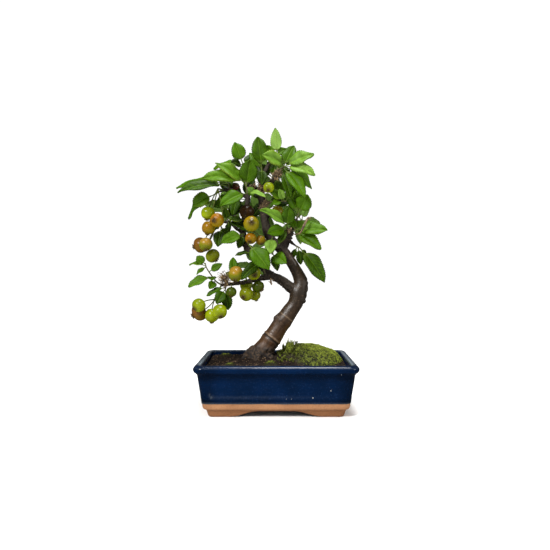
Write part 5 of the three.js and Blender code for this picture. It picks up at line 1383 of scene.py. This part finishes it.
# One crabapple: a circle carried from the calyx to the stalk's pit. Its half-width is the sine of the polar
# angle, faintly five-lobed; its height is the cosine, dimpled at the stalk, with a crown at the calyx.
def appleShape(centre, radius, upwards, stretch, skin, seed):
    random = np.random.default_rng(seed)
    across = unit(np.cross(upwards, [0.3, 0.2, 0.9]))
    side = np.cross(upwards, across)
    polar = np.linspace(0.08, np.pi - 0.1, fruit["rows"])[::-1][:, None]
    around = np.linspace(0, 2 * np.pi, fruit["around"], endpoint=False)[None, :]
    turned = around + random.uniform(0, 6.28)
    shrivel = 0.13 if skin == "mummy" else 0.0
    lobes = 1 + 0.022 * np.cos(5 * turned) * smoothStep(polar, 1.2, 2.9)
    out = np.sin(polar) ** 0.93 * lobes
    high = (np.cos(polar) - 0.3 * bump(polar, 0, 0.36) + 0.10 * bump(polar, np.pi, 0.62)
            - 0.24 * bump(polar, np.pi, 0.24))
    local = (out * np.cos(around))[..., None] * across + (out * np.sin(around))[..., None] * side
    local = local + (high * stretch * 0.97)[..., None] * upwards
    dents = 1 + 0.012 * softNoise(local + seed, 0.8, 2) + shrivel * softNoise(local + seed, 0.42, 3)
    rings = centre + radius * local * dents[..., None]
    ground, blush, amount = fruit["skins"][skin]
    sun = local @ unit([-0.45, -0.5, 0.75])
    mask = smoothStep(sun + 0.9 * softNoise(local + 3.1 * seed, 0.9, 4) + 2 * amount - 1, -0.3, 0.9)
    if skin == "bicolour":
        mask = smoothStep(local[..., 2] + 0.3 * softNoise(local + seed, 0.7, 5), -0.25, 0.55)
    colour = np.array(linear(ground)) * (1 - mask[..., None]) + np.array(linear(blush)) * mask[..., None]
    crown = bump(polar, np.pi, 0.42) + 0.7 * bump(polar, 0, 0.3)
    shape = tubeShape(rings, centre - radius * stretch * 0.87 * upwards,
                      centre + radius * stretch * 0.66 * upwards, crown=crown)
    shape["skin"] = np.vstack([colour.reshape(-1, 4), colour[0].mean(0), colour[-1].mean(0)])
    return shape


# The dried calyx: five narrow sepals that curl back from the crown, and a pinch of stamens.
def calyxShape(centre, radius, upwards, stretch, seed):
    random = np.random.default_rng(seed + 500)
    across = unit(np.cross(upwards, [0.3, 0.2, 0.9]))
    side, down = np.cross(upwards, across), -upwards
    foot = centre + down * radius * stretch * 0.88
    shapes = []
    for petal in range(5):
        angle = petal * 2 * np.pi / 5 + random.uniform(-0.25, 0.25)
        out = across * math.cos(angle) + side * math.sin(angle)
        share = np.linspace(0, 1, 6)[:, None]
        reach = radius * fruit["sepal"] * 0.5 * random.uniform(0.8, 1.2)
        curl = radius * (0.2 * np.sin(2.2 * share) - 0.06 * share)
        path = foot + out * (0.14 * radius + reach * share) + down * curl
        rows = np.hstack([path, 0.1 * radius * (1 - 0.75 * share)])
        shapes.append(limbShape(rows, 5, withered=1.0))
    for _ in range(fruit["stamens"]):
        lean = unit(down + 0.35 * random.normal(size=3))
        share = np.linspace(0, 1, 3)[:, None]
        rows = np.hstack([foot + lean * radius * 0.3 * share, 0.22 * (1 - 0.4 * share)])
        shapes.append(limbShape(rows, 4, withered=1.0))
    return joinShapes(shapes)


# One bunch: the stalk its fruit share, which rises as a half sine wave, then for each fruit its skin, its
# bent stalk, thicker at both ends, and its calyx.
def bunchShapes(spur, shared, apples, firstSeed):
    root = np.array(shared or spur, float)
    skins, stalks = [], []
    if shared:
        rows = [[*(np.array(spur) + (root - spur) * share + [0, 0, 1.2 * math.sin(math.pi * share)]), 1.15]
                for share in (0.35, 0.7)]
        stalks.append(limbShape([[*spur, 1.3], *rows, [*root, 1.35]], 9, 6))
    for number, (x, y, z, radius, calyx, stretch, skin) in enumerate(apples):
        centre, upwards = np.array([x, y, z], float), -unit(calyx)
        seat = centre + upwards * 0.6 * radius * stretch
        bend = seat + upwards * 0.45 * np.linalg.norm(seat - root)
        share = np.linspace(0, 1, 18)[:, None]
        thick = fruit["stalk"] * (1 + 0.35 * (2 * share - 1) ** 6)
        skins.append(appleShape(centre, radius, upwards, stretch, skin, firstSeed + number))
        stalks.append(limbShape(np.hstack([bentPath(root, bend, seat, share), thick]), 8))
        stalks.append(calyxShape(centre, radius, upwards, stretch, firstSeed + number))
    return joinShapes(skins), joinShapes(stalks)


# Crabapple skin: waxy and tight, a clear gloss over flecks of corky russet, browner round stalk and calyx.
skinFinish, tree, shader, place = newFinish("crabappleSkin", {"IOR": 1.45, "Specular IOR Level": 0.2})
skinColour = addNode(tree, "ShaderNodeAttribute", {"attribute_name": "skin"}).outputs["Color"]
crown = storedValue(tree, "crown")
fleck = addNode(tree, "ShaderNodeTexVoronoi", {}, {"Vector": place, "Scale": perMetre(2.3)})
russeting = noiseNode(tree, place, 5, 5.0)
fleckMask = rampNode(tree, fleck.outputs["Distance"], 0.16, 0.07, end=0.45)
flecked = mixNode(tree, fleckMask, skinColour, "#5e4012")
blotch = rampNode(tree, russeting, 0.58, 0.78, end=0.5, smooth=True)
blotched = mixNode(tree, blotch, flecked, "#5a3c10")
crowned = mixNode(tree, crown, blotched, "#2a1c0a")
tree.links.new(crowned, shader.inputs["Base Color"])
gloss = rampNode(tree, russeting, 0.4, 0.8, 0.21, 0.5)
tree.links.new(gloss, shader.inputs["Roughness"])

# Fruit stalks and dried sepals: green stalks with a dull skin, papery brown where the flower has withered.
stalkFinish, tree, shader, place = newFinish("driedStalk", {"Roughness": 0.8, "Specular IOR Level": 0.2})
blotches = noiseNode(tree, place, 3, 3.0)
withered = storedValue(tree, "withered")
greenStalk = mixNode(tree, blotches, "#20220a", "#5e6a26")
brownSepal = mixNode(tree, blotches, "#1a1208", "#5d5028")
stalkColour = mixNode(tree, withered, greenStalk, brownSepal)
tree.links.new(stalkColour, shader.inputs["Base Color"])

for bunchNumber, (name, bunch) in enumerate(bunches.items()):
    whole, index = pairShapes(*bunchShapes(*bunch, 10 * bunchNumber))
    makePiece(name + "_apples", whole, [skinFinish, stalkFinish], [name], index)
print("fruit made:", sum(len(apples) for _, _, apples in bunches.values()))
